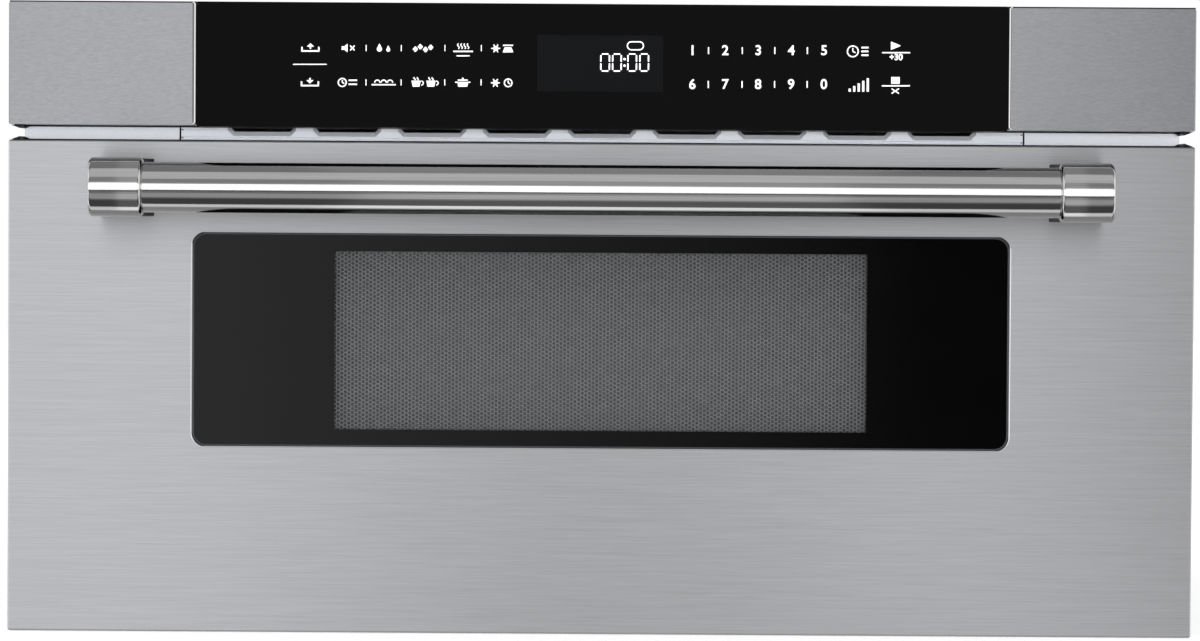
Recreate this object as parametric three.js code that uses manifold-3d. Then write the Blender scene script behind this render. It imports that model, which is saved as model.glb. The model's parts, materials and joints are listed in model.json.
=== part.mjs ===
// Built-in microwave drawer: a chassis that fits into a cabinet cut-out, and a drawer that a rack and pinion
// pushes out on two ball-bearing slides. Millimetres, +X right, -Y towards the user, +Z up.
// The origin is the middle of the chassis' flat underside.
import * as THREE from "three";
import { mergeVertices } from "three/addons/utils/BufferGeometryUtils.js";
import Module from "manifold-3d";

const wasm = await Module();
wasm.setup();

// ---- Driving dimensions -------------------------------------------------------------------------------

// Clearances
const SEAT = 0.3; // between two pieces that touch
const DOOR_GAP = 1.0; // drawer front to front flange, when closed
const TUB_SIDE_GAP = 4; // tub to cavity wall
const TUB_FLOOR_GAP = 6; // tub to cavity floor
const TUB_REAR_GAP = 13; // tub to cavity rear wall

// Outside
const FRONT_WIDTH = 759;
const DRAWER_FRONT_HEIGHT = 314.5;
const PANEL_HEIGHT = 80;
const FRONT_GAP = 9; // open gap between the drawer front and the control panel
const FRONT_DROP = 10; // the drawer front hangs this far below the chassis
const FRONT_THICKNESS = 32;
const FRONT_LAP = 6; // the front is wider than the flange by this much at each side
const CHASSIS_DEPTH = 565;
const TOP_SPACE = 26; // free height between the stirrer's motor and the top cover
const FLANGE_LAP = 18; // the flange covers the cabinet by this much at each side
const FLANGE_RISE = 16; // and by this much above the cut-out
const FLANGE_DROP = 4; // and by this much below it, over the edge of the shelf
const FLANGE_STEP = 0.5; // the screwed outer strips are set forward by this much

// Sheet and moulding thicknesses
const SHEET = 1.2;
const FLANGE_SHEET = 1.6;
const SKIN = 1.0;
const MOULDING = 2.5;
const FRAME_RIM = 5; // black rim of the mouldings behind the stainless skins
const RIM_PROUD = 1.0; // the rims stand into the front gap by this much
const RETURN_WIDTH = 14; // turned-in edges of the case panels

// Corner tabs of the two mouldings, seen dark at the ends of the front gap
const TAB_HEIGHT = 2.3;
const TAB_WIDTH = 10;
const TAB_SLOPE = 5.6;
const TAB_SETBACK = 8; // behind the front face

// Control panel
const TOUCH_GLASS_WIDTH = 518;
const TOUCH_GLASS_THICKNESS = 5;
const TOUCH_GLASS_DROP = 0.9; // below the edge of the steel ends
const TOUCH_GLASS_GAP = 1.5; // beside the steel ends
const END_ROUND = 1.8; // rounded edge of the steel ends beside the glass
const END_RETURN = 8; // depth of the steel ends' edge beside the glass
const BOARD_SIZE = [300, 50, 1.6];
const BOARD_RISE = 16.5; // above the panel's lower edge
const BOARD_SETBACK = 15.1; // behind the front face
const BOARD_BOSS = 4;
const BOARD_BOSS_INSET = 6;
const DISPLAY_SIZE = [84, 30];
const RELAY_SIZE = [16, 12, 20];
const RELAYS_X = [-110, -84, -58];
const SUPPLY_SIZE = [32, 14, 28];
const SUPPLY_X = 60;
const CAN_RADIUS = 4;
const CAN_HEIGHT = 11;
const CANS_X = [100, 112, 124];
const CONNECTOR_SIZE = [40, 9, 8];
const CONNECTOR_DROP = 15; // below the middle of the board

// Drawer front
const SKIN_BEVEL = 0.9;
const WINDOW_WIDTH = 522.4;
const WINDOW_HEIGHT = 136.4;
const WINDOW_BOTTOM = 109.4;
const WINDOW_CORNER = 5.5;
const WINDOW_THICKNESS = 5;
const WINDOW_PROUD = 1.0;
const WINDOW_BEVEL = 1.4;
const SCREEN_WIDTH = 340.8;
const SCREEN_HEIGHT = 114.1;
const SCREEN_BOTTOM = 120.4;
const SCREEN_BORDER = 9;
const SCREEN_SHEET = 0.8;
const GLASS_TO_SCREEN = 0.8;
const FRAME_WALL = 3; // left solid round each of the frame's parts
const FRAME_COLUMNS = 2; // pockets beside the window
const FRAME_BAYS = 4; // pockets across, under and over the window

// Handle
const HANDLE_LENGTH = 643.6;
const HANDLE_HEIGHT_ABOVE_BASE = 274.4;
const HANDLE_REACH = 50; // axis of the bar in front of the drawer front
const BAR_RADIUS = 15.5;
const CAP_RADIUS = 18.8;
const CAP_LENGTH = 36;
const CAP_ROUND = 2;
const POST_FLARE = 6.5; // the post is wider than its cap by this much at its foot
const POST_HEIGHT = 35.6;
const HANDLE_SCREW_RADIUS = 3;
const HANDLE_SCREW_HEAD = 5.5;
const HANDLE_SCREW_BITE = 18;
const HANDLE_SCREW_DEPTH = 17.1; // the heads bear this far behind the front face

// Cavity and tub
const CAVITY_WIDTH = 444;
const CAVITY_HEIGHT = 192;
const CAVITY_BOTTOM = 70;
const CAVITY_DEPTH = 407;
const TUB_SHEET = 1.2;
const TUB_HEIGHT = 150;
const TUB_CORNER = 8;
const TUB_LIP = 2.7;
const TUB_HEM = 5;
const FLOOR_GLASS = 4;
const FLOOR_GLASS_MARGIN = 18;
const CHOKE_WIDTH = 18;
const CHOKE_DEPTH = 15;
const CHOKE_SLOT = 3;
const CHOKE_PITCH = 40;
const INNER_WINDOW = 2;

// Stirrer
const STIRRER_Y = -78;
const DOME_RADIUS = 90;
const DOME_TAPER = 12;
const DOME_HEIGHT = 27;
const STIRRER_COVER = 1.5;
const STIRRER_COVER_MARGIN = 8;
const BLADE_RADIUS = 66;
const BLADE_SHEET = 1.5;
const BLADE_TILT = 12; // degrees
const STIRRER_SHAFT = 4;
const STIRRER_MOTOR_RADIUS = 24;
const STIRRER_MOTOR_HEIGHT = 18;

// Microwave source
const GUIDE_WIDTH = 84;
const GUIDE_HEIGHT = 36;
const GUIDE_SHEET = 1.5;
const GUIDE_FRONT = -125;
const GUIDE_REAR = 205;
const GUIDE_PORT_WIDTH = 60;
const GUIDE_PORT_LENGTH = 34;
const MAGNETRON_Y = 181;
const MAGNETRON_WIDTH = 92;
const MAGNETRON_DEPTH = 76;
const MAGNETRON_HEIGHT = 62;
const MAGNETRON_YOKE = 3;
const MAGNETRON_FINS = 4;
const MAGNETRON_FIN = 1;
const ANODE_RADIUS = 19;
const ANTENNA_RADIUS = 7;
const ANTENNA_HEIGHT = 24;
const FILTER_BOX = [64, 60, 24];

// Exhaust grille
const GRILLE_WIDTH = 546;
const GRILLE_SEAM = 0.4;
const GRILLE_BOTTOM = 298;
const GRILLE_TOP = 332;
const GRILLE_SLOTS = 9;
const GRILLE_PITCH = 55;
const SLOT_BOTTOM = 310.9;
const SLOT_HEIGHT = 16;
const SLOT_WIDTH = 42.6;
const SLOT_CORNER = 3.8; // the lower corners are cut off by this much
const SLOT_BEVEL = 3.3; // each slot's edge opens out to the front by this much
const SLOT_BEVEL_DEPTH = 1.2;
const BLADE_COUNT = 2;
const BLADE_START = 1.1; // the lowest blade's front edge, above the slots' lower edge
const BLADE_PITCH = 5;
const BLADE_THICKNESS = 0.9;
const BLADE_DEPTH = 7;
const BLADE_FALL = 1.2;
const SHOULDER_WIDTH = 23;
const SHOULDER_RISE = 0.5;
const DUCT_SHEET = 1;
const DUCT_LENGTH = 112;

// Telescopic slides
const RAIL_LENGTH = 395;
const RAIL_HEIGHT_ABOVE_BASE = 105;
const RAIL_ROOM = 67.5; // from the slide's fixed side to the side of the case
const RAIL_WIDTH = 20;
const RAIL_SHEET = 1.5;
const BALL_RADIUS = 2.4;
const BALL_CLEARANCE = 0.3;
const BALL_COUNT = 3; // in each of a cage's two rows
const BALL_PITCH = 84;
const CAGE_SHEET = 0.8;
const CAGE_LENGTH = 192;
const CAGE_START = 98; // behind the front end of the slide
const OUTER_BALL = [7.5, 21.5]; // from the fixed side, and from the slide's middle
const INNER_BALL = [13.5, 16.5];
const RAIL_PORT_GAP = 2;
const EAR_SHEET = 1.5;
const EAR_HEIGHT = 44;

// Rack and pinion
const GEAR_MODULE = 3;
const PINION_TEETH = 12;
const PRESSURE_ANGLE = 25; // degrees
const BACKLASH = 0.5;
const TIP_CLEARANCE = 0.6;
const GEAR_WIDTH = 12;
const RACK_LENGTH = 424;
const RACK_BACK = 6;
const PINION_HEIGHT = 25;
const PINION_Y = -252;
const PINION_SHAFT = 4;
const CHEEK_SHEET = 2;
const CHEEK_GAP = 1.6;
const CHEEK_LENGTH = 44;
const GEARBOX = [34, 56, 44];
const MOTOR_RADIUS = 17;
const MOTOR_LENGTH = 58;

// Rear compartment
const TRANSFORMER_X = -225;
const TRANSFORMER_Y = 195;
const TRANSFORMER_CORE = [104, 62, 74];
const TRANSFORMER_FOOT = 3;
const CAPACITOR_X = -120;
const CAPACITOR_Y = 205;
const CAPACITOR_SIZE = [54, 34, 96];
const FAN_X = -112;
const FAN_SIZE = 104;
const FAN_DEPTH = 34;
const FAN_HEIGHT = 232;
const FAN_BORE = 46;
const FAN_BLADES = 5;
const FAN_RUNNING_GAP = 2;
const FAN_HUB = 14;
const FAN_HUB_LENGTH = 20;
const FAN_HUB_CHAMFER = 3;
const FAN_BLADE_WIDTH = 24;
const FAN_BLADE_SHEET = 1.8;
const FAN_BLADE_PITCH = 35; // degrees
const FAN_SHAFT = 2.5;
const FAN_PLATE = 3; // web that carries the motor
const FAN_ARM = 8;
const FAN_MOTOR_RADIUS = 20;
const FAN_MOTOR_LENGTH = 26;
const FILTER_X = 245;
const FILTER_Y = 225;
const FILTER_BOARD = [70, 50, 3];
const FILTER_STAND = 5;
const FILTER_LEG = 2.5;
const FILTER_LEG_INSET = 5;
const FILTER_RING = [12, 6]; // radius of the ring, and of the winding round it
const FILTER_RING_X = -14;
const FILTER_BLOCK = [22, 12, 16];
const FILTER_BLOCKS = [18, 24]; // from the middle of the board, and apart
const GLAND_X = 290;
const GLAND_Z = 60;
const GLAND_RADIUS = 9;
const GLAND_BORE = 4.5;
const LAMP_Y = 60;
const LAMP_Z = 232;
const LAMP_SIZE = 34;

// Interlock switches
const SWITCH_OFFSET = 27; // outside the slide's fixed side
const SWITCH_Z = 205;
const SWITCH_SIZE = [16, 28, 20];
const SWITCH_EAR = 10;
const PLUNGER_RADIUS = 2.2;
const PLUNGER_LENGTH = 12;
const PLUNGER_TRAVEL = 2;
const PLUNGER_ROUND = 1;

// Case
const BRACKET_SHEET = 2;
const BRACKET_CORNER = 12;
const BRACKET_FOOT = 18;
const REAR_EDGE_INSET = 12;
const REAR_EDGE_SHORT = 20; // the pan's rear edge stops this far from each side
const CASE_SLOT = [44, 4];
const WIDE_SLOT = [90, 4];
const REAR_SLOT = [70, 4];
const CASE_SLOT_PITCH = 11;
const BEAD_PITCH = 150;
const BEAD_WIDTH = 18;
const BEAD_DEPTH = 3;
const BEAD_SHORT = 50; // the beads stop this far from each side
const FLANGE_HOLES = 4; // mounting screws in each of the flange's outer strips
const FLANGE_HOLE_INSET = [34, 38]; // from the flange's lower edge and from its top
const FLANGE_HOLE_RADIUS = 2.5;

// Places worked out from these
const BACK_Y = CHASSIS_DEPTH / 2;
const FLANGE_BACK = -CHASSIS_DEPTH / 2;
const FLANGE_FRONT = FLANGE_BACK - FLANGE_SHEET;
const DOOR_BACK = FLANGE_FRONT - DOOR_GAP;
const FACE_Y = DOOR_BACK - FRONT_THICKNESS;
const CASE_FRONT = FLANGE_BACK + SEAT;
const DRAWER_BOTTOM = -FRONT_DROP;
const DRAWER_TOP = DRAWER_BOTTOM + DRAWER_FRONT_HEIGHT;
const PANEL_BOTTOM = DRAWER_TOP + FRONT_GAP;
const PANEL_TOP = PANEL_BOTTOM + PANEL_HEIGHT;
const FLANGE_WIDTH = FRONT_WIDTH - 2 * FRONT_LAP;
const CHASSIS_WIDTH = FLANGE_WIDTH - 2 * FLANGE_LAP;
const HALF_FRONT = FRONT_WIDTH / 2;
const HALF_CASE = CHASSIS_WIDTH / 2;
const RIM_FRONT = DOOR_BACK - FRAME_RIM;
const SKIN_BACK = RIM_FRONT - SEAT;
const WINDOW_FRONT = FACE_Y - WINDOW_PROUD;
const WINDOW_BACK = WINDOW_FRONT + WINDOW_THICKNESS;
const WINDOW_TOP = WINDOW_BOTTOM + WINDOW_HEIGHT;
const SCREEN_FRONT = WINDOW_BACK + GLASS_TO_SCREEN;
const SCREEN_BACK = SCREEN_FRONT + SCREEN_SHEET;
const SCREEN_TOP = SCREEN_BOTTOM + SCREEN_HEIGHT;
const CAVITY_TOP = CAVITY_BOTTOM + CAVITY_HEIGHT;
const CAVITY_BACK = CASE_FRONT + CAVITY_DEPTH;
const CHOKE_BACK = DOOR_BACK - SEAT;
const CHOKE_FRONT = CHOKE_BACK - CHOKE_DEPTH;
const INNER_WINDOW_FRONT = CHOKE_FRONT + SEAT;
const TUB_FRONT = INNER_WINDOW_FRONT + INNER_WINDOW + SEAT;
const TUB_BACK = CAVITY_BACK - TUB_REAR_GAP;
const TUB_BOTTOM = CAVITY_BOTTOM + TUB_FLOOR_GAP;
const TUB_TOP = TUB_BOTTOM + TUB_HEIGHT;
const TUB_HALF = CAVITY_WIDTH / 2 - TUB_SIDE_GAP;
const BAR_Y = FACE_Y - HANDLE_REACH;
const HALF_HANDLE = HANDLE_LENGTH / 2;
const POST_X = HALF_HANDLE - CAP_LENGTH / 2;
const RAIL_OUTER_FACE = HALF_CASE - RAIL_ROOM;
const RAIL_FRONT = CASE_FRONT + SEAT;
const SWITCH_X = RAIL_OUTER_FACE + SWITCH_OFFSET;
const SCREW_SEAT = FACE_Y + HANDLE_SCREW_DEPTH;
const PINION_RADIUS = (GEAR_MODULE * PINION_TEETH) / 2;
const PITCH_LINE = PINION_HEIGHT + PINION_RADIUS;
const CHEEK_INSIDE = GEAR_WIDTH / 2 + CHEEK_GAP;
const RACK_TOP = PITCH_LINE + GEAR_MODULE + TIP_CLEARANCE + RACK_BACK;
const DOME_TOP = CAVITY_TOP + DOME_HEIGHT + SHEET;
const GUIDE_BOTTOM = DOME_TOP + SEAT;
const GUIDE_TOP = GUIDE_BOTTOM + GUIDE_HEIGHT;
const CHASSIS_HEIGHT = GUIDE_TOP + SEAT + STIRRER_MOTOR_HEIGHT + TOP_SPACE + SHEET;
const FLANGE_TOP = CHASSIS_HEIGHT + FLANGE_RISE;
const BOARD_BOTTOM = PANEL_BOTTOM + BOARD_RISE;
const BOARD_MIDDLE = BOARD_BOTTOM + BOARD_SIZE[1] / 2;
const BOARD_FRONT = FACE_Y + BOARD_SETBACK;

// ---- Finishes -----------------------------------------------------------------------------------------

const finish = (color, roughness, metalness) => new THREE.MeshStandardMaterial(
  { color, roughness, metalness },
);
const brushedSteel = finish(0xb4b6b8, 0.34, 1);
const polishedSteel = finish(0xc8c9cb, 0.14, 1);
const zincSheet = finish(0xaeb2b5, 0.45, 0.9);
const flangeSteel = finish(0xd6d8dc, 0.35, 0.8);
const cavityPaint = finish(0x8f9294, 0.5, 0.1);
const tubPaint = finish(0x9a9c9e, 0.45, 0.1);
const blackGlass = finish(0x111213, 0.06, 0);
const smokedGlass = finish(0x2b2c2e, 0.06, 0);
const clearGlass = finish(0x9fa6a8, 0.08, 0);
const ceramicGlass = finish(0x2a2826, 0.15, 0);
const screenSteel = finish(0x5d6063, 0.5, 0.8);
const blackPlastic = finish(0x1d1e20, 0.55, 0);
const greyPlastic = finish(0x77797b, 0.55, 0);
const whitePlastic = finish(0xd9d7d0, 0.5, 0);
const micaBoard = finish(0xbdb39c, 0.6, 0);
const aluminium = finish(0xc2c4c6, 0.35, 0.9);
const ballSteel = finish(0xc9cacc, 0.12, 1);
const greenBoard = finish(0x2f5f3f, 0.5, 0);
const copperWinding = finish(0x9a5a34, 0.45, 0.4);

// ---- Solid tools --------------------------------------------------------------------------------------

function solid(geometry) {
  const bare = geometry.clone();
  bare.deleteAttribute("normal");
  bare.deleteAttribute("uv");
  const merged = mergeVertices(bare, 1e-4);
  const index = merged.index.array;
  const triangles = [];
  for (let i = 0; i < index.length; i += 3) {
    const [a, b, c] = index.slice(i, i + 3);
    if (a !== b && b !== c && c !== a) triangles.push(a, b, c);
  }
  return new wasm.Manifold(
    new wasm.Mesh({
      numProp: 3,
      vertProperties: new Float32Array(merged.attributes.position.array),
      triVerts: new Uint32Array(triangles),
    }),
  );
}

const join = (first, ...others) => others.reduce((whole, piece) => whole.add(piece), first);
const cut = (first, ...tools) => tools.reduce((whole, tool) => whole.subtract(tool), first);

// A block between two values on each axis.
function block([x0, x1], [y0, y1], [z0, z1]) {
  const box = new THREE.BoxGeometry(x1 - x0, y1 - y0, z1 - z0);
  return solid(box.translate((x0 + x1) / 2, (y0 + y1) / 2, (z0 + z1) / 2));
}

const around = (middle, size) => [middle - size / 2, middle + size / 2];
const both = (half) => [-half, half];

// Two distances from the middle, as a span on one side of it: 1 is the right, -1 the left.
const onSide = (side, from, to) => [side * from, side * to].sort((a, b) => a - b);

// Where an outline's own axes and its normal point: drawn in XY, in XZ as seen from the front, or in YZ.
const PLANES = {
  z: [[1, 0, 0], [0, 1, 0], [0, 0, 1]],
  y: [[1, 0, 0], [0, 0, 1], [0, -1, 0]],
  x: [[0, 1, 0], [0, 0, 1], [1, 0, 0]],
};

function facing(geometry, axis) {
  const [u, v, w] = PLANES[axis].map((a) => new THREE.Vector3(...a));
  return geometry.applyMatrix4(new THREE.Matrix4().makeBasis(u, v, w));
}

// An outline pushed along an axis, between two values of it. Each of its arcs gets curve steps.
function prism(outline, axis, [from, to], { bevel = 0, curve = 4 } = {}) {
  const geometry = new THREE.ExtrudeGeometry(outline, {
    depth: to - from - 2 * bevel,
    bevelEnabled: bevel > 0,
    bevelThickness: bevel,
    bevelSize: bevel,
    bevelOffset: -bevel,
    bevelSegments: 2,
    curveSegments: curve,
  });
  geometry.translate(0, 0, bevel);
  facing(geometry, axis);
  const shift = axis === "y" ? to : from;
  return solid(
    geometry.translate(axis === "x" ? shift : 0, axis === "y" ? shift : 0, axis === "z" ? shift : 0),
  );
}

// A profile of [radius, place along the axis] points, turned about an axis through a centre. It runs from the
// low end of the axis to the high end, or counter-clockwise round a ring's section.
function turned(profile, axis, [x, y, z], sides = 14) {
  const lathe = new THREE.LatheGeometry(profile.map(([r, h]) => new THREE.Vector2(r, h)), sides);
  if (axis === "z") lathe.rotateX(Math.PI / 2);
  if (axis === "x") lathe.rotateZ(-Math.PI / 2);
  return solid(lathe.translate(x, y, z));
}

// A round bar between two values of its axis. The centre's own value on that axis isn't used.
function rod(radius, axis, [from, to], centre, sides = 14) {
  const middle = (from + to) / 2;
  const place = {
    x: [middle, centre[1], centre[2]],
    y: [centre[0], middle, centre[2]],
    z: [centre[0], centre[1], middle],
  };
  const cylinder = new THREE.CylinderGeometry(radius, radius, to - from, sides);
  if (axis === "z") cylinder.rotateX(Math.PI / 2);
  if (axis === "x") cylinder.rotateZ(Math.PI / 2);
  return solid(cylinder.translate(...place[axis]));
}

function polygon(points) {
  return new THREE.Shape(points.map(([x, y]) => new THREE.Vector2(x, y)));
}

function roundedRectangle([x0, x1], [y0, y1], radius) {
  const shape = new THREE.Shape();
  shape.moveTo(x0 + radius, y0);
  shape.lineTo(x1 - radius, y0);
  shape.absarc(x1 - radius, y0 + radius, radius, -Math.PI / 2, 0);
  shape.lineTo(x1, y1 - radius);
  shape.absarc(x1 - radius, y1 - radius, radius, 0, Math.PI / 2);
  shape.lineTo(x0 + radius, y1);
  shape.absarc(x0 + radius, y1 - radius, radius, Math.PI / 2, Math.PI);
  shape.lineTo(x0, y0 + radius);
  shape.absarc(x0 + radius, y0 + radius, radius, Math.PI, 1.5 * Math.PI);
  return shape;
}

// Points on an arc, angles in degrees.
function arc([x, y], radius, from, to, steps) {
  return Array.from({ length: steps + 1 }, (_, i) => {
    const angle = THREE.MathUtils.degToRad(from + ((to - from) * i) / steps);
    return [x + radius * Math.cos(angle), y + radius * Math.sin(angle)];
  });
}

// The outline of a bent sheet: a centre line given half its thickness to each side, with mitred bends.
function bentSheet(line, thickness) {
  const points = line.map(([x, y]) => new THREE.Vector2(x, y));
  const side = (sign) =>
    points.map((point, i) => {
      const before = i > 0 ? point.clone().sub(points[i - 1]).normalize() : null;
      const after = i < points.length - 1 ? points[i + 1].clone().sub(point).normalize() : null;
      const along = (before ?? after).clone().add(after ?? before).normalize();
      const widen = 1 / Math.max(0.5, along.dot(before ?? after));
      return point.clone().add(
        new THREE.Vector2(-along.y, along.x).multiplyScalar((sign * widen * thickness) / 2),
      );
    });
  return new THREE.Shape([...side(-1), ...side(1).reverse()]);
}

// ---- The scene graph ----------------------------------------------------------------------------------

const model = new THREE.Group();
const chassis = new THREE.Group();
const drawer = new THREE.Group();
model.add(chassis, drawer);

// One named mesh. A piece made for the right-hand side serves the left with its X turned round.
function add(group, name, body, material, isMirrored = false) {
  const { vertProperties, triVerts } = body.getMesh();
  const geometry = new THREE.BufferGeometry();
  geometry.setAttribute("position", new THREE.BufferAttribute(new Float32Array(vertProperties), 3));
  const corners = Uint32Array.from(triVerts, (_, i) => triVerts[isMirrored ? i + 2 - 2 * (i % 3) : i]);
  geometry.setIndex(new THREE.BufferAttribute(corners, 1));
  if (isMirrored) geometry.attributes.position.applyMatrix4(new THREE.Matrix4().makeScale(-1, 1, 1));
  const mesh = new THREE.Mesh(geometry, material);
  mesh.name = name;
  group.add(mesh);
}

function addPair(group, name, body, material) {
  add(group, `${name}_right`, body, material);
  add(group, `${name}_left`, body, material, true);
}

// ---- Slides -------------------------------------------------------------------------------------------

// A slide's sections are drawn from its fixed side (u = 0) towards the drawer, and up from its middle.
const BALL_TRACK = BALL_RADIUS + BALL_CLEARANCE + RAIL_SHEET / 2; // centre line of a rolled ball track
const railX = (u) => RAIL_OUTER_FACE - u;

function railSection(upperHalf, thickness) {
  const lowerHalf = upperHalf.map(([u, v]) => [u, -v]).reverse();
  const line = [...upperHalf, ...lowerHalf].map(([u, v]) => [railX(u), v + RAIL_HEIGHT_ABOVE_BASE]);
  return bentSheet(line, thickness);
}

const railEnds = [RAIL_FRONT, RAIL_FRONT + RAIL_LENGTH];
const OUTER_WEB = RAIL_SHEET / 2;
const MIDDLE_WEB = RAIL_SHEET + 2 * 0.4 + CAGE_SHEET + RAIL_SHEET / 2;
const INNER_WEB = RAIL_WIDTH - RAIL_SHEET / 2;

// Fixed member: a C whose lips wrap over the outer balls.
function outerRail() {
  const lip = arc(OUTER_BALL, BALL_TRACK, 8, 155, 6);
  return prism(railSection([...lip, [OUTER_WEB, OUTER_BALL[1] + 1.4]], RAIL_SHEET), "y", railEnds);
}

// Travelling member: each flange dips under the outer balls and rises over the inner ones.
function middleRail() {
  const hump = arc(INNER_BALL, BALL_TRACK, 30, 120, 4);
  const dip = arc(OUTER_BALL, BALL_TRACK, -60, -140, 4);
  const web = [MIDDLE_WEB, OUTER_BALL[1] - 3.1];
  return prism(railSection([...hump, ...dip, web], RAIL_SHEET), "y", railEnds);
}

// Drawer member: opens towards the middle one, and ends in an ear that is screwed to the drawer front.
function innerRail() {
  const groove = arc(INNER_BALL, BALL_TRACK, -150, -40, 5);
  const earFront = DOOR_BACK + SEAT;
  const webTop = INNER_BALL[1] - 3.5;
  const bar = prism(
    railSection([...groove, [INNER_WEB, webTop]], RAIL_SHEET),
    "y",
    [earFront, railEnds[1]],
  );
  const ear = block(
    [railX(RAIL_WIDTH), railX(2.5)],
    [earFront, earFront + EAR_SHEET],
    around(RAIL_HEIGHT_ABOVE_BASE, EAR_HEIGHT),
  );
  const screwHole = (v) => rod(
    2.1,
    "y",
    [earFront - 1, earFront + EAR_SHEET + 1],
    [railX(8), 0, RAIL_HEIGHT_ABOVE_BASE + v],
    8,
  );
  return cut(join(bar, ear), screwHole(9), screwHole(-9));
}

// A strip between two members, with a row of balls along its top and its bottom lip.
function ballCage(ball, web) {
  const lipLevel = ball[1] - 0.3;
  const line = [[ball[0] + 0.5, lipLevel], [web, lipLevel]];
  const strip = prism(
    railSection(line, CAGE_SHEET),
    "y",
    [RAIL_FRONT + CAGE_START, RAIL_FRONT + CAGE_START + CAGE_LENGTH],
  );
  const firstBall = RAIL_FRONT + CAGE_START + (CAGE_LENGTH - (BALL_COUNT - 1) * BALL_PITCH) / 2;
  const balls = [];
  for (let i = 0; i < BALL_COUNT; i++) {
    for (const side of [-1, 1]) {
      const sphere = new THREE.IcosahedronGeometry(BALL_RADIUS);
      const height = RAIL_HEIGHT_ABOVE_BASE + side * ball[1];
      balls.push(solid(sphere.translate(railX(ball[0]), firstBall + i * BALL_PITCH, height)));
    }
  }
  return join(strip, ...balls);
}

addPair(chassis, "rail_outer", outerRail(), zincSheet);
addPair(model, "rail_middle", middleRail(), zincSheet);
addPair(drawer, "rail_inner", innerRail(), zincSheet);
addPair(model, "outer_ball_cage", ballCage(OUTER_BALL, RAIL_SHEET + 0.4 + CAGE_SHEET / 2), ballSteel);
addPair(model, "inner_ball_cage", ballCage(INNER_BALL, MIDDLE_WEB + RAIL_SHEET / 2 + 1.2), ballSteel);

// ---- Rack and pinion ----------------------------------------------------------------------------------

const GEAR_PITCH = Math.PI * GEAR_MODULE;
const FLANK = Math.tan(THREE.MathUtils.degToRad(PRESSURE_ANGLE));

// The rack's teeth point down at the pinion. Its flanks are straight, as an involute rack's are.
function driveRack() {
  const teeth = Math.floor((RACK_LENGTH - GEAR_PITCH) / GEAR_PITCH);
  const tip = PITCH_LINE - GEAR_MODULE;
  const root = PITCH_LINE + GEAR_MODULE + TIP_CLEARANCE;
  const front = DOOR_BACK + SEAT;
  const halfAt = (level) => GEAR_PITCH / 4 - BACKLASH / 2 + (level - PITCH_LINE) * FLANK;
  const offset = (PINION_Y - front) % GEAR_PITCH; // puts the pinion's own tooth space on a rack tooth
  const outline = [[front, RACK_TOP], [front, root]];
  for (let i = 0; i < teeth; i++) {
    const middle = front + offset + (i + (offset < GEAR_PITCH / 2 ? 1 : 0)) * GEAR_PITCH;
    outline.push([middle - halfAt(root), root], [middle - halfAt(tip), tip]);
    outline.push([middle + halfAt(tip), tip], [middle + halfAt(root), root]);
  }
  outline.push([front + RACK_LENGTH, root], [front + RACK_LENGTH, RACK_TOP]);
  return prism(polygon(outline.reverse()), "x", both(GEAR_WIDTH / 2));
}

// One side of an involute tooth: [radius, angle from the tooth's middle], from its root to its tip.
function involuteFlank() {
  const base = PINION_RADIUS * Math.cos(THREE.MathUtils.degToRad(PRESSURE_ANGLE));
  const inv = (angle) => Math.tan(angle) - angle;
  const pressureAt = (radius) => Math.acos(Math.min(1, base / radius));
  const halfAtPitch = (GEAR_PITCH / 4 - BACKLASH / 2) / PINION_RADIUS;
  const turnTo = (radius) => halfAtPitch + inv(pressureAt(PINION_RADIUS)) - inv(pressureAt(radius));
  const root = PINION_RADIUS - GEAR_MODULE - TIP_CLEARANCE;
  const tip = PINION_RADIUS + GEAR_MODULE;
  const radii = [base, PINION_RADIUS, tip];
  return [[root, turnTo(base)], ...radii.map((radius) => [radius, turnTo(radius)])];
}

// Its first tooth space points straight up at the rack. The shaft runs in the two cheeks and the gearbox.
function drivePinion() {
  const step = (2 * Math.PI) / PINION_TEETH;
  const flank = involuteFlank();
  const outline = [];
  for (let i = 0; i < PINION_TEETH; i++) {
    const middle = Math.PI / 2 + (i + 0.5) * step;
    const rising = flank.map(([radius, angle]) => [radius, middle - angle]);
    const falling = flank.map(([radius, angle]) => [radius, middle + angle]).reverse();
    outline.push(
      ...[...rising, ...falling].map(([r, a]) =>
        [PINION_Y + r * Math.cos(a), PINION_HEIGHT + r * Math.sin(a)],
      ),
    );
  }
  const wheel = prism(polygon(outline), "x", both(GEAR_WIDTH / 2));
  const shaftEnd = CHEEK_INSIDE + CHEEK_SHEET + SEAT;
  const shaft = rod(PINION_SHAFT, "x", [-shaftEnd - 2, shaftEnd + 10], [0, PINION_Y, PINION_HEIGHT], 10);
  return join(wheel, shaft);
}

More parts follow.
